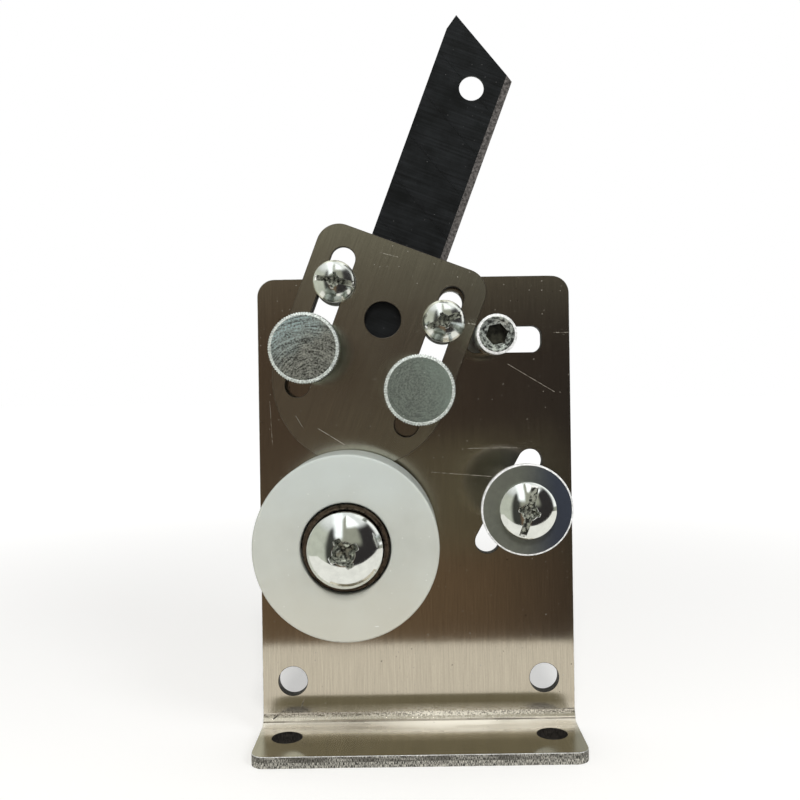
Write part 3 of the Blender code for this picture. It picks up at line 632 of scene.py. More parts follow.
def brushed_sheet(name, colour, roughness, scratches, stains=(), bent=False, turn=0):
    """Stainless sheet, brushed along y: fine lines, rubbed patches, dust and scratches."""
    look = Look(name, colour, roughness, 1, turn)
    lines = look.noise((2700, 110, 110))
    bands = look.noise((420, 24, 24))
    patches = look.noise((60, 45, 60), detail=4)
    grit = look.noise(2400, detail=2)
    look.tint(lines * 0.6 + bands * 0.2 + grit * 0.2, 0.89, 1.08, 0.36, 0.64)
    look.bump(lines, 0.0000016)
    look.bump(patches, 0.000012)
    dust = look.specks(0.0019, 0.00024, 0.2)
    dull = dust * 0.5
    # A bent sheet gets a matt ridge at its bend, with painted highlights and painted shade
    if bent:
        dull = dull | bend_matt_and_painted_light(look)
    look.cover(DUST_COLOUR, dust)
    look.cover(DIRT_COLOUR, look.specks(0.0033, 0.00028, 0.16))
    for paint, marks in ((SCRATCH_COLOUR, scratches), (STAIN_COLOUR, stains)):
        for start, end, width in marks:
            line = look.scratch(start, end, width)
            look.cover(paint, line)
            dull = dull | line
    look.set("Metallic", dull.spread(0, 1, 1, 0.08))
    sheen = patches.spread(0.3, 0.7, roughness * 0.9, roughness * 1.12)
    look.set("Roughness", sheen | dull * MATT_ROUGHNESS)
    look.smear(0.93, direction_type="UV_MAP", uv_map="grain")
    return look.material


def sheared_edge(name, colour, dark, light, metallic=0.8, dark_above=None):
    """Cut side of a sheet: torn metal with dashes across the thickness."""
    look = Look(name, colour, 0.5, metallic)
    look.set("Specular IOR Level", 0.5 * metallic)
    tears = look.noise((6000, 1500, 6000), roughness=0.65)
    look.tint(tears, dark, light, 0.42, 0.6)
    if dark_above:
        x, height, out = look.split(look.place())
        patchy = look.noise((200, 900, 200)).spread(0.4, 0.6, 0.1, 0.75)
        look.cover(TORN_COLOUR, height.between(dark_above, 2 * dark_above) * patchy)
    look.rough(tears, 0.65, 0.4)
    look.bump(tears, 0.00009)
    return look.material


# Marks as start, end and width: about the plate's foot, and about the clamp's sight hole
plate_scratches = (
    ((0.0213, 0.0837), (0.0319, 0.0772), 0.0001),
    ((0.0319, 0.0907), (0.0353, 0.0907), 0.00011),
    ((-0.033, 0.076), (-0.0325, 0.066), 0.00006),
    ((0.012, 0.0646), (0.0231, 0.0646), 0.00011),
    ((0.0036, 0.0593), (0.0175, 0.0581), 0.00011),
)
plate_stains = (
    ((-0.0261, 0.0082), (-0.0268, 0.0062), 0.0002),
    ((-0.0331, 0.0038), (-0.0309, 0.0054), 0.00028),
    ((0.0309, 0.005), (0.0361, 0.0051), 0.00022),
)
clamp_scratches = (
    ((0.0183, 0.0058), (0.0218, 0.0065), 0.00022),
    ((-0.0057, 0.014), (-0.0016, 0.0144), 0.0001),
    ((-0.0056, -0.0279), (0.0023, -0.0295), 0.00014),
    ((-0.011, -0.027), (-0.0085, -0.029), 0.0001),
)


# Finishes of the other pieces

def plain_metal(name, colour, roughness, wear=0.25, depth=0.000004, wobble=0, metallic=1, grit=420):
    """Plated or polished metal with a slightly uneven surface."""
    look = Look(name, colour, roughness, metallic)
    cloud = look.noise(grit, detail=5)
    look.tint(cloud, 1 - wear, 1 + wear / 2, 0.36, 0.64)
    look.rough(cloud, roughness * 1.3, roughness * 0.8)
    look.bump(cloud, depth)
    if wobble:
        look.bump(look.noise(230, detail=1), wobble)
    return look.material


def turned_metal(name, colour, roughness, spacing, wear=0.2, grit=700, metallic=1):
    """Metal with turning marks round its axis."""
    look = Look(name, colour, roughness, metallic)
    marks = look.turning(spacing, 2.5)
    cloud = look.noise(grit, detail=5)
    look.tint((marks + cloud) * 0.5, 1 - wear, 1 + wear, 0.36, 0.64)
    look.rough(cloud, roughness * 1.25, roughness * 0.8)
    look.bump(marks, 0.000012)
    look.bump(cloud, 0.000006)
    look.smear(0.4)
    return look.material


def thumb_look(name, colour, highlight_colour, highlight_side, scuffed, centre):
    """Scuffed face of a thumb screw: arcs of scratches, with a painted highlight towards one side."""
    look = Look(name, colour, 0.42, 0.8)
    arcs = look.turning(0.00035, 3, centre)
    grit = look.noise(2600)
    marks = (arcs + grit) * 0.5
    look.tint(marks, 1 - 0.75 * scuffed, 1 + 1.2 * scuffed, 0.42, 0.6)
    # Painted highlight: a paler colour towards one side of the face
    toward = look.vector("DOT_PRODUCT", look.place(), (*highlight_side, 0))
    highlight_share = (toward + look.noise(300) * 0.008).spread(0.003, 0.01)
    look.cover(highlight_colour, highlight_share * marks.spread(0.42, 0.58, 1 - 0.9 * scuffed, 1))
    look.cover((0.85, 0.9, 0.88), look.specks(0.0017, 0.00022, 0.3))
    look.rough(marks, 0.52, 0.34)
    look.bump(arcs, 0.00002)
    look.bump(grit, 0.00001)
    return look.material


def cap_look():
    """Plated face of the socket screw, mottled dark and bright."""
    look = Look("cap_steel", (0.74, 0.8, 0.75), 0.3, 0.75)
    blots = look.noise(1300, detail=4)
    marks = (blots + look.turning(0.0005, 2)) * 0.5
    look.tint(marks, 0.08, 1.2, 0.44, 0.58)
    look.rough(blots, 0.4, 0.24)
    look.bump(marks, 0.0001)
    return look.material


def shaded_recess_look(name, ball, ball_height):
    """Walls of a recess in a spherical head, mottled and painted darker than the head as painted shade,
    with a broken painted highlight along its mouth.
    """
    # Painted shade: the recess walls are much darker than the head
    look = Look(name, (0.42, 0.44, 0.38), 0.3, 0.6)
    cloud = look.noise(1300, detail=4)
    look.tint(cloud, 0.12, 1.9, 0.42, 0.6)
    depth = ball - look.vector("DISTANCE", look.place(), (0, 0, ball_height))
    breakup = look.noise(700, detail=2).spread(0.4, 0.52, 0.1, 1)
    mouth_highlight = depth.spread(0.0002, 0.00036, 1, 0) * breakup
    # Painted highlight: near-white and hardly metallic along the recess's mouth
    look.cover((0.97, 0.98, 0.95), mouth_highlight)
    look.set("Metallic", mouth_highlight.spread(0, 1, 0.6, 0.1))
    look.rough(cloud, 0.36, 0.24)
    look.bump(cloud, 0.00004)
    return look.material


def disc_look():
    """Turned disc, olive, painted darker and bluer towards one side as painted shade."""
    look = Look("disc_steel", (0.34, 0.365, 0.315), 0.34, 0.8)
    cloud = look.noise(900, detail=4)
    look.tint(cloud, 0.9, 1.1)
    x, y, z = look.split(look.place())
    # Painted shade: darker and bluer towards the right
    look.cover((0.085, 0.105, 0.165), x.ease(-0.0025, 0.0065, 0, 0.9))
    look.rough(cloud, 0.38, 0.3)
    look.bump(look.turning(0.0003, 1.5), 0.000003)
    look.smear(0.4)
    return look.material


def nylon_look():
    """Off-white nylon: cloudy, slightly see-through, with faint turning marks, and painted light: bluish
    towards the top and warm towards the bottom.
    """
    look = Look("nylon", (0.465, 0.48, 0.435), 0.4)
    cloud = look.noise(110)
    look.tint(cloud, 0.94, 1.06)
    x, y, z = look.split(look.place())
    # Painted light: a cool cast towards the top and a warm cast towards the bottom
    drift = y + cloud * 0.012
    look.cover((0.47, 0.52, 0.51), drift.ease(0.006, 0.024, 0, 0.6))
    look.cover((0.52, 0.5, 0.42), drift.ease(-0.012, 0.006, 0.6, 0))
    look.cover((0.7, 0.72, 0.68), look.specks(0.0023, 0.0002, 0.25))
    look.rough(cloud, 0.34, 0.48)
    look.bump(look.turning(0.0004, 1.5), 0.000004)
    look.bump(look.noise(1500, detail=2), 0.000006)
    look.set("Subsurface Weight", 0.3)
    look.set("Subsurface Radius", (1, 0.95, 0.8))
    look.set("Subsurface Scale", 0.002)
    look.set("IOR", 1.53)
    return look.material


def blade_look():
    """Black oxide, rubbed thin in places, with fine scratches across."""
    look = Look("black_oxide", (0.0066, 0.0074, 0.0082), 0.36, turn=-CLAMP_TILT)
    lines = look.noise((60, 2400, 60), detail=4)
    rubs = look.noise(160, detail=5)
    look.tint(lines * rubs, 0.6, 2, 0.15, 0.4)
    look.rough(rubs, 0.3, 0.45)
    look.bump(lines, 0.000003)
    look.cover((0.1, 0.1, 0.1), look.specks(0.0022, 0.00018, 0.2))
    look.set("Specular IOR Level", 0.27)
    return look.material


plate_steel = brushed_sheet(
    "plate_steel", (0.6, 0.54, 0.44), 0.135, plate_scratches, plate_stains, bent=True
)
clamp_steel = brushed_sheet("clamp_steel", (0.73, 0.7, 0.59), 0.17, clamp_scratches, turn=-CLAMP_TILT)
cut_steel = sheared_edge("cut_steel", (0.33, 0.32, 0.29), 0.1, 2.2, dark_above=SHEET / 2)
# Painted shade: a near-black cut face for the walls of the plate's holes and for the clamp plate's cut
# sides
cut_shade = sheared_edge("cut_shade", (0.026, 0.023, 0.02), 0.4, 1.8, metallic=0.2)
edge_steel = plain_metal("edge_steel", (0.85, 0.84, 0.8), 0.3, wear=0.5)
# Painted highlight: a near-white, hardly metallic rounded edge along the foot's front
edge_highlight = plain_metal("edge_highlight", (0.95, 0.94, 0.9), 0.45, wear=0.6, metallic=0.2, grit=2500)
# Painted shade: dark rounded edges along the clamp plate's outline
edge_shade = plain_metal("edge_shade", (0.2, 0.17, 0.14), 0.35, wear=0.4)
bright_steel = plain_metal(
    "bright_steel", (0.86, 0.88, 0.85), 0.09, wear=0.08, depth=0.000006, wobble=0.00004
)
pan_steel = plain_metal("pan_steel", (0.88, 0.9, 0.86), 0.16, wear=0.1, depth=0.00001, wobble=0.00008)
disc_steel = disc_look()
# Painted highlight: a pale, hardly metallic rim for the guide disc and the socket screw's chamfer
rim_highlight = plain_metal("rim_highlight", (0.9, 0.92, 0.9), 0.4, wear=0.35, depth=0.00002, metallic=0.2, grit=1600)
# Painted highlight: a pale, partly metallic chamfer round the thumb screws' faces
chamfer_highlight = plain_metal(
    "chamfer_highlight", (0.72, 0.77, 0.73), 0.42, wear=0.5, depth=0.00002, metallic=0.4, grit=2600
)
scuffed_thumb = thumb_look(
    "scuffed_thumb", (0.29, 0.3, 0.27), (0.72, 0.92, 0.95), (-0.55, 0.83), 1, (0.002, -0.009)
)
smooth_thumb = thumb_look(
    "smooth_thumb", (0.3, 0.345, 0.31), (0.44, 0.54, 0.48), (0.8, 0.2), 0.35, (0.0004, 0.0006)
)
knurl_side = plain_metal("knurl_side", (0.5, 0.54, 0.5), 0.4, wear=0.3)
zinc = plain_metal("zinc", (0.7, 0.73, 0.74), 0.3)
turned_zinc = turned_metal("turned_zinc", (0.68, 0.71, 0.72), 0.28, 0.0003, wear=0.1)
cap_steel = cap_look()
# Painted shade: the bearing's rings and shields, deep in the roller, in dark brown
ring_shade = turned_metal(
    "ring_shade", (0.155, 0.125, 0.095), 0.24, 0.00025, wear=0.95, grit=1200, metallic=0.85
)
shield_shade = turned_metal("shield_shade", (0.2, 0.16, 0.13), 0.3, 0.0004)
ball_steel = plain_metal("ball_steel", (0.86, 0.87, 0.88), 0.08, wear=0.05)
blade_black = blade_look()
ground_steel = plain_metal("ground_steel", (0.13, 0.12, 0.115), 0.42, wear=0.7, metallic=0.3, grit=1700)
# Painted shade: the inside of the hexagon socket in near black
socket_shade = plain_metal("socket_shade", (0.05, 0.05, 0.036), 0.4, wear=0.8, metallic=0.3, grit=900)
nylon = nylon_look()


# Sheet metal

def finish_sheet(piece, edge, on_sheet, in_hole):
    """Sorts the brushed faces, the outer cut faces, the rounded edges and the walls of the
    holes, and maps the grain: u across the brushing, v up the plate and out along the foot."""

    def number_of(face):
        if on_sheet(face.center, face.normal):
            return 0
        return 3 if in_hole(face.center) else 1

    sort_faces(piece, number_of)
    soften(piece, edge, segments=3, angle=radians(50), material=2)
    layer = piece.data.uv_layers.new(name="grain")
    for loop in piece.data.loops:
        co = piece.data.vertices[loop.vertex_index].co
        layer.data[loop.index].uv = (co.x * GRAIN_SCALE, (co.y - co.z) * GRAIN_SCALE)


def build_bracket():
    """Angle bracket: its bent section drawn out sideways, rounded corners, holes and slots."""
    outer_bend = BEND_RADIUS + SHEET
    inner_height = SHEET + INNER_BEND
    section = [(-SHEET, PLATE_TOP), (0, PLATE_TOP)]
    section += arc(INNER_BEND, inner_height, INNER_BEND, pi, pi / 2)
    section += [(FOOT_REACH, SHEET), (FOOT_REACH, 0)]
    section += arc(BEND_RADIUS, outer_bend, outer_bend, 1.5 * pi, -pi / 2)
    bracket = flat("bracket", [section], PLATE_WIDTH)
    sideways = Matrix(((0, 0, -1, PLATE_WIDTH / 2), (0, 1, 0, 0), (1, 0, 0, 0), (0, 0, 0, 1)))
    bracket.data.transform(sideways)
    ends = (
        (PLATE_CORNER, lambda co: abs(co.y - PLATE_TOP) < MERGE),
        (FOOT_CORNER, lambda co: abs(co.z - FOOT_REACH) < MERGE),
    )
    with reshaped(bracket.data) as work:
        for radius, at_end in ends:
            corners = []
            for edge in work.edges:
                a, b = (vert.co for vert in edge.verts)
                if abs(a.x - b.x) < MERGE and at_end(a) and at_end(b):
                    corners.append(edge)
            steps = facets(radius) // 4
            bmesh.ops.bevel(work, geom=corners, offset=radius, segments=steps, profile=0.5, affect="EDGES")

    def drill(outline, *place, tilt=0):
        hole = flat("hole", [outline], SHEET + 2 * OVERCUT)
        cut(bracket, hole, *place, tilt=tilt)

    behind = -SHEET - OVERCUT
    for x in (-PLATE_HOLE_X, PLATE_HOLE_X):
        drill(circle(BOLT_HOLE_DIAMETER), x, PLATE_HOLE_HEIGHT, behind)
    for x in (-FOOT_HOLE_X, FOOT_HOLE_X):
        drill(circle(BOLT_HOLE_DIAMETER), x, SHEET + OVERCUT, FOOT_HOLE_REACH, tilt=pi / 2)
    drill(circle(M8_BORE), *axis_of("axle_screw"), behind)
    for across in (-SCREW_SPACING / 2, SCREW_SPACING / 2):
        drill(slot(*BRACKET_SLOT, M5_BORE, across), *SIGHT_HOLE, behind, -CLAMP_TILT)
    drill(slot(0, LOWER_SLOT_TRAVEL, M5_BORE), *LOWER_SLOT, behind, -LOWER_SLOT_TILT)
    half = LEVEL_SLOT_WIDTH / 2
    drill(oblong(*LEVEL_SLOT, -half, half, LEVEL_SLOT_CORNER), 0, LEVEL_SLOT_HEIGHT, behind)

    def on_sheet(centre, normal):
        on_plate = abs(normal.z) > SQUARE_ON and (abs(centre.z) < MERGE or abs(centre.z + SHEET) < MERGE)
        on_foot = abs(normal.y) > SQUARE_ON and (abs(centre.y) < MERGE or abs(centre.y - SHEET) < MERGE)
        on_bend = abs(normal.x) < 0.01 and centre.y < inner_height and centre.z < INNER_BEND
        return on_plate or on_foot or on_bend

    def in_hole(centre):
        at_side = abs(centre.x) > PLATE_WIDTH / 2 - 0.001
        at_end = centre.y > PLATE_TOP - PLATE_CORNER or centre.z > FOOT_REACH - FOOT_CORNER
        return not (at_side or at_end)

    finish_sheet(bracket, SHEET_EDGE, on_sheet, in_hole)
    # The rounded edge along the foot's front takes a painted highlight
    for face in bracket.data.polygons:
        at_front = face.center.z > FOOT_REACH - 2 * SHEET_EDGE and face.center.y > SHEET / 2
        if face.material_index == 2 and at_front:
            face.material_index = 4
        # Rounded edges inside the holes take the painted shade of the hole walls
        elif face.material_index == 2 and in_hole(face.center):
            face.material_index = 3
    looks = (plate_steel, cut_steel, edge_steel, cut_shade, edge_highlight)
    put(bracket, "base_bracket", 0, *looks, place=(0, 0))


def build_clamp_plate():
    half = CLAMP_WIDTH / 2
    outline = rounded([
        (-half, CLAMP_BOTTOM_CENTRE - half, half), (half, CLAMP_BOTTOM_CENTRE - half, half),
        (half, CLAMP_TOP, CLAMP_CORNER), (-half, CLAMP_TOP, CLAMP_CORNER),
    ])
    slots = [slot(*CLAMP_SLOT, M5_BORE, x) for x in (-SCREW_SPACING / 2, SCREW_SPACING / 2)]
    plate = flat("clamp", [outline, *slots, circle(SIGHT_HOLE_DIAMETER)], CLAMP_THICKNESS)
    finish_sheet(plate, CLAMP_EDGE, lambda centre, normal: abs(normal.z) > SQUARE_ON, lambda centre: True)
    out = 2 * GAP + BLADE_THICKNESS
    # The clamp plate's cut sides and rounded edges are painted dark, a painted shade along its outline
    looks = (clamp_steel, cut_shade, edge_shade, cut_shade)
    put(plate, "blade_clamp_plate", out, *looks, place=SIGHT_HOLE, turn=-CLAMP_TILT)


def build_blade():
    """Blade blank with its ground side, slanted ends, eye and score lines."""
    half = BLADE_WIDTH / 2
    ground = half - BLADE_GRIND
    section = [
        (-half, 0), (ground, 0), (half, BLADE_THICKNESS / 2),
        (ground, BLADE_THICKNESS), (-half, BLADE_THICKNESS),
    ]
    blade = flat("blade", [section], BLADE_LENGTH)
    blade.data.transform(Matrix(((1, 0, 0, 0), (0, 0, -1, BLADE_TOP), (0, 1, 0, 0), (0, 0, 0, 1))))
    slant = Vector((sin(BLADE_SLANT), cos(BLADE_SLANT), 0))
    corner_trim = Vector((-cos(BLADE_SLANT / 2), sin(BLADE_SLANT / 2), 0))
    tip = Vector((-half, BLADE_TOP, 0))
    ends = (
        (tip, slant),
        (Vector((half, BLADE_TOP - BLADE_LENGTH, 0)), -slant),
        (tip - corner_trim * BLADE_TIP_TRIM / 2, corner_trim),
    )
    with reshaped(blade.data) as work:
        for point, outward in ends:
            everything = work.verts[:] + work.edges[:] + work.faces[:]
            section_cut = bmesh.ops.bisect_plane(
                work, geom=everything, dist=MERGE, plane_co=point, plane_no=outward, clear_outer=True
            )
            rim = [item for item in section_cut["geom_cut"] if isinstance(item, bmesh.types.BMEdge)]
            bmesh.ops.holes_fill(work, edges=rim)
    eye = flat("eye", [circle(BLADE_HOLE_DIAMETER)], BLADE_THICKNESS + 2 * OVERCUT)
    cut(blade, eye, *BLADE_HOLE_PLACE, -OVERCUT)
    x = BLADE_WIDTH / cos(BLADE_SLANT) / 2
    y = SCORE_WIDTH / 2
    lowest = BLADE_TOP - BLADE_LENGTH + half * tan(BLADE_SLANT)
    scores = int(BLADE_LENGTH / SCORE_SPACING) - 2
    for number in range(1, scores + 1):
        score = flat("score", [oblong(-x, x, -y, y)], OVERCUT)
        middle = lowest + number * SCORE_SPACING
        cut(blade, score, 0, middle, BLADE_THICKNESS - SCORE_DEPTH, -BLADE_SLANT)
    sort_faces(blade, lambda face: int(face.normal.x > 0.1 and face.center.x > ground - MERGE))
    shade(blade, radians(10))
    looks = (blade_black, ground_steel)
    put(blade, "cutter_blade", GAP, *looks, place=SIGHT_HOLE, turn=-CLAMP_TILT)


# Screws

def dome_ball(diameter, height):
    """Radius of the ball that a domed head is the cap of, above its rim."""
    rise = height * (1 - DOME_RIM)
    return ((diameter / 2) ** 2 + rise**2) / (2 * rise)


def dome_profile(diameter, height):
    """Spherical head from its crown to its underside, with a soft rim."""
    radius = diameter / 2
    ball = dome_ball(diameter, height)
    points = []
    for step in range(DOME_STEPS + 1):
        angle = asin(radius / ball) * step / DOME_STEPS
        points.append((ball * sin(angle), height - ball + ball * cos(angle)))
    soft = 0.3 * DOME_RIM * height
    return points + arc(radius - soft, soft, soft, 0, -pi / 2)


def shank_profile(thread, length, top=0):
    """Threaded shank from under its head to its point."""
    diameter, pitch = thread
    radius = diameter / 2
    point = 0.15 * diameter
    depth = 0.55 * pitch
    points = [(radius, 0)]
    z = -pitch
    while z - pitch > point - length:
        points += [(radius, z), (radius - depth, z - pitch / 2)]
        z -= pitch
    points += [(radius, z), (radius, point - length), (radius - point, -length), (0, -length)]
    return [(radius, z + top) for radius, z in points]


def arm_cutter(length, width, depth, taper, height):
    """One arm of a recess: a box that narrows to its bottom, with rounded ends."""
    tool = flat("arm", [oblong(-length / 2, length / 2, -width / 2, width / 2, width / 4)], depth + OVERCUT)
    tool.data.transform(Matrix.Translation((0, 0, height - depth)))
    for vert in tool.data.vertices:
        if vert.co.z < height:
            vert.co.x *= taper
            vert.co.y *= taper
    return tool


def cross_recess(screw, diameter, height, turn, slotted):
    """Cross recess, and on slotted heads a straight slot across the dome as well."""
    arm = RECESS_ARM * diameter
    for quarter in (0, pi / 2):
        tool = arm_cutter(RECESS_SPAN * diameter, arm, RECESS_DEPTH * height, RECESS_TAPER, height)
        cut(screw, tool, turn=turn + quarter)
    cut(screw, turned("hollow", rounded([
        (0, height + OVERCUT, 0),
        (HOLLOW_MOUTH * diameter, height + OVERCUT, 0),
        (HOLLOW_FLOOR * diameter, height * 0.55, 0.02 * diameter),
        (0, height * 0.45, 0),
    ], closed=False)))
    if slotted:
        tool = arm_cutter(diameter + OVERCUT, arm, SLOT_DEPTH * height, 1, height)
        cut(screw, tool, turn=turn)


def build_domed_screw(node, thread, head, turn, look, slotted=True):
    back, front, diameter = span_of(node)
    shank = shank_profile(thread, front - head - back)
    screw = turned(node, dome_profile(diameter, head) + shank)
    cross_recess(screw, diameter, head, radians(turn), slotted)
    ball = dome_ball(diameter, head)
    centre = Vector((0, 0, head - ball))

    def number_of(face):
        sunk = (face.center - centre).length < ball - 0.00005
        return int(sunk and face.center.z > head * 0.2)

    sort_faces(screw, number_of)
    soften(screw, 0.00009, miter_outer="MITER_ARC")
    put(screw, node, front - head, look, shaded_recess_look(node + "_recess", ball, head - ball))


def build_thumb_screw(node, look):
    """Knurled head with a dished face and a chamfer with a painted highlight, a collar and a threaded
    shank.
    """
    back, front, diameter = span_of(node)
    outer = diameter / 2
    head = THUMB_HEAD_HEIGHT
    profile = [
        (0, head - THUMB_DISH),
        (outer - THUMB_CHAMFER - THUMB_DISH, head - THUMB_DISH),
        (outer - THUMB_CHAMFER, head),
        (outer - KNURL_ROOT, head - 0.0004), (outer, head - 0.0005),
        (outer, THUMB_CHAMFER + 0.0001), (outer - KNURL_ROOT, THUMB_CHAMFER),
        (outer - THUMB_CHAMFER, 0),
        (THUMB_COLLAR_DIAMETER / 2, 0), (THUMB_COLLAR_DIAMETER / 2, -THUMB_COLLAR_HEIGHT),
    ]
    profile += shank_profile(M5, front - head - THUMB_COLLAR_HEIGHT - back, -THUMB_COLLAR_HEIGHT)

    def knurl(radius, step):
        wave = abs(step % 4 - 2) / 2
        return radius if radius < outer - MERGE else radius - KNURL_DEPTH * wave

    def number_of(face):
        if face.center.z > head - 0.00055 and face.center.xy.length > outer - THUMB_CHAMFER - 0.0002:
            return 1
        return 0 if face.center.z > head - 0.0002 else 2

    thumb = turned(node, profile, steps=4 * KNURL_TEETH, ripple=knurl)
    sort_faces(thumb, number_of)
    shade(thumb, radians(25))
    put(thumb, node, front - head, look, chamfer_highlight, knurl_side)


def build_cap_screw(node):
    """Socket screw with a turned face, a chamfered rim and a hexagon socket."""
    back, front, diameter = span_of(node)
    radius = diameter / 2
    head = CAP_HEAD_HEIGHT
    corner = HEX_SOCKET_FLATS / sqrt(3)
    profile = rounded([
        (0, head - 0.0003, 0),
        (corner + 0.0002, head - 0.0003, 0.0001),
        (radius - 0.0007, head, 0.0005),
        (radius, head - 0.0003, 0.0002), (radius, 0, 0.0002), (M5[0] / 2, 0, 0),
    ], closed=False)
    screw = turned(node, profile + shank_profile(M5, front - head - back))
    socket = flat("socket", [hexagon(HEX_SOCKET_FLATS)], HEX_SOCKET_DEPTH + OVERCUT)
    cut(screw, socket, z=head - HEX_SOCKET_DEPTH, turn=HEX_SOCKET_TURN)
    entry = turned("entry", [(0, head + OVERCUT), (corner + OVERCUT, head + OVERCUT), (0, head - corner)])
    cut(screw, entry, z=0.0003)

    def number_of(face):
        middle = face.center.xy.length
        if middle > radius - CAP_RIM and face.center.z > head - 0.0006:
            return 2
        return int(middle < corner - 0.0002 and 0 < face.center.z < head - 0.0006)

    sort_faces(screw, number_of)
    soften(screw, 0.00007, miter_outer="MITER_ARC")
    # The socket takes painted shade, the rim chamfer a painted highlight
    put(screw, node, front - head, cap_steel, socket_shade, rim_highlight)


def build_nut(node, flats, bore, turn=0):
    """Hexagon nut, chamfered by a turned form and bored through."""
    back, front, diameter = span_of(node)
    tall = front - back
    corner = flats / sqrt(3)
    flat_end = 0.475 * flats
    chamfer = (corner - flat_end) * tan(radians(30))
    form = turned("form", [
        (0, tall + GAP), (flat_end, tall + GAP), (flat_end, tall), (corner + GAP, tall - chamfer),
        (corner + GAP, chamfer), (flat_end, 0), (flat_end, -GAP), (0, -GAP),
    ])
    nut = flat(node, [hexagon(flats)], tall)
    cut(nut, form, operation="INTERSECT")
    cut(nut, flat("bore", [circle(bore)], tall + 2 * OVERCUT), z=-OVERCUT)
    soften(nut, 0.00012, miter_outer="MITER_ARC")
    put(nut, node, back, zinc, turn=turn)


def build_screws():
    build_domed_screw("clamp_screw_left", M5, DOME_HEIGHT, -11, pan_steel)
    build_domed_screw("clamp_screw_right", M5, DOME_HEIGHT, 21, pan_steel)
    build_domed_screw("lower_guide_screw", M5, DOME_HEIGHT, 75, bright_steel)
    build_domed_screw("axle_screw", M8, AXLE_DOME_HEIGHT, 28, bright_steel, slotted=False)
    build_cap_screw("upper_guide_screw")
    clamp_groups = ("clamp_screw_left", "clamp_screw_right", "thumb_screw_left", "thumb_screw_right")
    turns = dict.fromkeys(clamp_groups, -CLAMP_TILT)
    turns.update(lower_guide=-LOWER_SLOT_TILT, upper_guide=0)
    for group, turn in turns.items():
        build_nut(group + "_nut", *M5_NUT, turn)
        build_ring(group + "_rear_washer", M5_BORE, 0.00015, zinc)
    build_thumb_screw("thumb_screw_left", scuffed_thumb)
    build_thumb_screw("thumb_screw_right", smooth_thumb)
    build_nut("axle_nut", *M8_NUT)
    build_ring("axle_rear_washer", M8_BORE, 0.0002, zinc)


# Rings and the roller

def put_turned(node, profile, *looks, rim=None):
    """Turns a ring, and puts it in its place. A second look is for what lies past the rim."""
    piece = turned(node, profile, closed=True)
    if rim:
        sort_faces(piece, lambda face: int(face.center.xy.length > rim))
    shade(piece)
    put(piece, node, span_of(node)[0], *looks)


def build_ring(node, bore, edge, *looks):
    back, front, diameter = span_of(node)
    inner = bore / 2
    outer = diameter / 2
    tall = front - back
    profile = rounded([(inner, 0, edge), (inner, tall, edge), (outer, tall, edge), (outer, 0, edge)])
    rim = outer - 0.9 * edge if len(looks) > 1 else None
    put_turned(node, profile, *looks, rim=rim)


def build_roller():
    back, front, diameter = span_of("roller_wheel")
    width = front - back
    shoulder = span_of("bearing_outer_ring")[0] - GAP - back
    put_turned("roller_wheel", rounded([
        (ROLLER_SEAT, width, 0.0004), (diameter / 2, width, 0.0005), (diameter / 2, 0, 0.0005),
        (ROLLER_BORE, 0, 0.0003), (ROLLER_BORE, shoulder, 0.0002), (ROLLER_SEAT, shoulder, 0),
    ]), nylon)


def build_rings():
    for ring in (
        ("bearing_outer_ring", 0.0159, 0.0003, ring_shade),
        ("bearing_inner_ring", M8_BORE, 0.0003, ring_shade),
        ("bearing_shield_front", 0.0112, 0.0001, shield_shade),
        ("bearing_shield_rear", 0.0112, 0.0001, shield_shade),
        ("axle_spacer", M8_BORE, 0.0002, turned_zinc),
        ("axle_shim", M8_BORE, 0.0001, turned_zinc),
        ("lower_guide_collar", M5_BORE, 0.0002, turned_zinc),
        ("lower_guide_sleeve", M5_BORE, 0.0003, turned_zinc),
        ("lower_guide_disc", M5_BORE, 0.00035, disc_steel, rim_highlight),
        ("upper_guide_sleeve", M5_BORE, 0.0002, turned_zinc),
    ):
        build_ring(*ring)


def finish_solids():
    """Finishes for the inner solids that stay as they are."""
    for node in ("bearing_cage", *("bearing_ball_%d" % number for number in range(1, 8))):
        mesh = frame["nodes"][node].data
        mesh.materials.clear()
        mesh.materials.append(shield_shade if node == "bearing_cage" else ball_steel)


# Studio

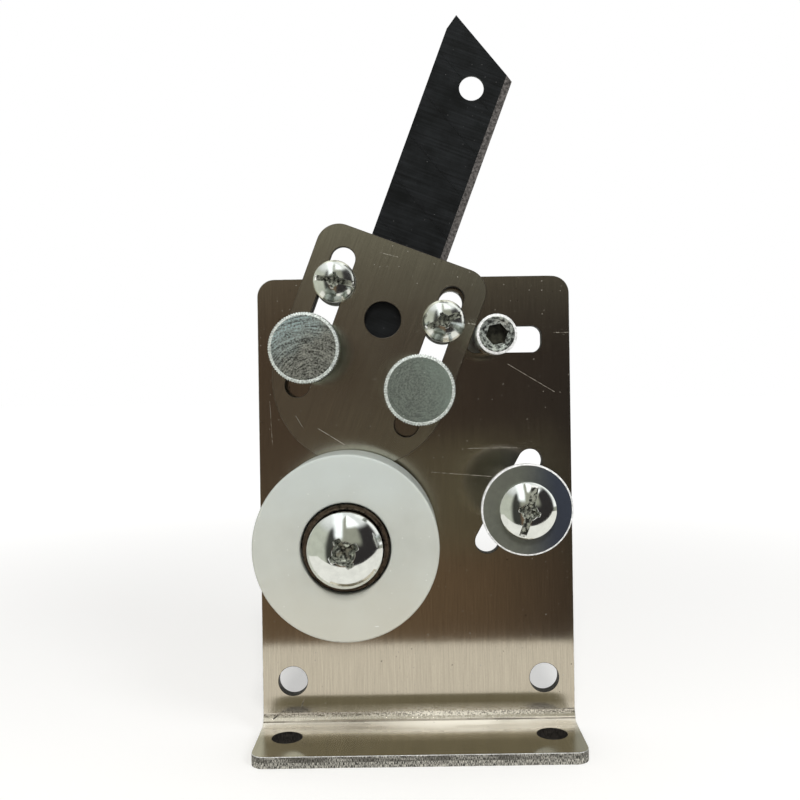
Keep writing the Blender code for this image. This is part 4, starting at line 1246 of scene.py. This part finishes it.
def floor_material():
    """White floor that keeps the machine's shadow, with painted shade round the machine where its lift
    towards white is weaker and a painted shadow under the foot, fading to plain white far off.

    The metal mirrors it as a glowing white sheet, a painted reflection, that ends a little way in front of
    the machine."""
    look = Look("floor", (0.9, 0.9, 0.89), 0.9)
    look.set("Specular IOR Level", 0)
    place = look.place()
    x, y, z = look.split(place)
    half = PLATE_WIDTH / 2 - 0.001
    painted_shadow_under = x.between(-half, half) * y.between(FRONT_Y - FOOT_REACH + 0.001, FRONT_Y)
    # Painted shadow: near black on the floor under the foot
    look.cover((0.03, 0.03, 0.03), painted_shadow_under)
    seen = look.ray("Camera") | look.ray("Transmission")
    # Painted shade: the floor's lift towards white is weaker near the machine
    lift_dimmed_near_machine = look.vector("LENGTH", place).ease(0.04, 0.6, 0.16, 0.6)
    look.set("Emission Color", (1, 1, 1, 1))
    look.set("Emission Strength", seen * lift_dimmed_near_machine * (1 - painted_shadow_under))

    # Painted reflection: reflected rays see a glowing white sheet, and the room beyond it
    reflected_sheet = look.value("Emission", 0, {"Color": (0.86, 0.85, 0.8, 1)})
    clear = look.value("BsdfTransparent", 0)
    on_sheet = (y > FRONT_Y - REFLECTED_SHEET_REACH) * x.between(*REFLECTED_SHEET_SIDES)
    mirrored = look.value("MixShader", 0, {0: on_sheet, 1: clear, 2: reflected_sheet})
    floor = Value(look, look.shader.outputs[0])
    whole = look.value("MixShader", 0, {0: look.ray("Glossy"), 1: floor, 2: mirrored})
    look.feed(look.nodes["Material Output"], "Surface", whole)
    return look.material


def build_floor():
    half = FLOOR_SIZE / 2
    mesh = bpy.data.meshes.new("floor")
    mesh.from_pydata([(x, y, 0) for x, y in oblong(-half, half, -half, half)], [], [(0, 1, 2, 3)])
    mesh.materials.append(floor_material())
    link("floor", mesh)


def build_world():
    """White to the camera, even light for matt surfaces, and a room for metal to reflect.

    Azimuths are measured from straight in front of the machine, positive to the right."""
    world = bpy.data.worlds.new("studio")
    bpy.context.scene.world = world
    room = Shading(world, "Background")
    seen = room.add("Mix", {"Factor": room.ray("Glossy"), "A": (1, 1, 1, 1)}, data_type="RGBA")
    room.painted = (seen, "B")
    room.set("Color", Value(room, seen.outputs["Result"]))
    room.set("Strength", room.ray("Diffuse").spread(0, 1, 1, 0.45))
    x, y, z = room.split(room.value("TexCoord", "Generated"))
    azimuth = room.math("ARCTAN2", x, y * -1)
    elevation = room.math("ARCSINE", z)

    def patch(colour, left, right, low, high, across=azimuth):
        """Soft-edged part of the room. Each side is a pair of angles, from where the patch
        starts to show to where it shows fully."""
        sides = across.ease(*left) * across.ease(*right)
        room.cover(colour, sides * elevation.ease(*low) * elevation.ease(*high))

    below = (-1.7, -1.6)
    above = (2.1, 2)
    room.cover(room.ramp(
        elevation.spread(-pi / 2, pi / 2),
        (0, (0.45, 0.44, 0.4)), (0.5, (0.3, 0.31, 0.26)),
        (0.66, (0.42, 0.44, 0.4)), (0.82, (0.86, 0.88, 0.87)),
    ))
    dark = room.ramp(
        azimuth.spread(-0.45, 0.17),
        (0, (0.045, 0.046, 0.04)), (0.4, (0.11, 0.08, 0.057)), (1, (0.03, 0.027, 0.027)),
    )
    # Grey wall to the left, bright window to the right, and the dark room in front
    patch((0.52, 0.54, 0.46), (-3.2, -3.1), (-0.6, -0.85), below, (0.8, 0.5))
    patch((1.05, 1.07, 1.05), (1.4, 1.6), (2.6, 2.4), (-0.04, 0.04), (1.4, 1.2))
    patch(dark, (-0.98, -0.74), (1.65, 1.45), below, (0.98, 0.72))
    # In the dark room: warm and olive patches, haze above them and two high windows
    patch((0.175, 0.125, 0.08), (-0.42, -0.24), (0.185, 0.07), below, (-0.1, -0.22))
    patch((0.185, 0.178, 0.12), (0, 0.03), (0.12, 0.09), (-0.2, -0.16), (-0.04, -0.08))
    patch((0.32, 0.325, 0.265), (-0.5, -0.3), (0.85, 0.6), (0.03, 0.34), above)
    patch((1.25, 1.3, 1.3), (-0.5, -0.34), (-0.05, -0.17), (0.34, 0.6), above, across=x)
    patch((1.3, 1.33, 1.33), (0, 0.12), (1.1, 0.85), (0.84, 1.05), above)


def add_lamp(name, place, size, power, colour):
    light = bpy.data.lights.new(name, "AREA")
    light.shape = "DISK"
    light.size = size
    light.energy = power
    light.color = colour
    lamp = link(name, light)
    lamp.location = place
    lamp.rotation_euler = (LAMP_TARGET - Vector(place)).to_track_quat("-Z", "Y").to_euler()
    lamp.visible_glossy = False


def build_camera():
    camera = bpy.data.cameras.new("camera")
    camera.lens = CAMERA_LENS
    camera.sensor_width = CAMERA_SENSOR
    camera.shift_x, camera.shift_y = CAMERA_SHIFT
    camera.clip_start = 0.001
    camera.clip_end = 20
    seat = link("camera", camera)
    seat.location = (CAMERA_X, FRONT_Y - CAMERA_DISTANCE, CAMERA_HEIGHT)
    seat.rotation_euler = (pi / 2, CAMERA_ROLL, 0)
    bpy.context.scene.camera = seat


build_camera()
build_bracket()
build_clamp_plate()
build_blade()
build_screws()
build_rings()
build_roller()
finish_solids()
build_floor()
build_world()
add_lamp("key", (0, -0.46, 0.5), 0.14, 2.6, (1, 0.98, 0.95))
add_lamp("fill", (0.32, -0.42, 0.4), 0.2, 0.6, (0.96, 0.98, 1))
bpy.context.scene.view_settings.view_transform = "Standard"
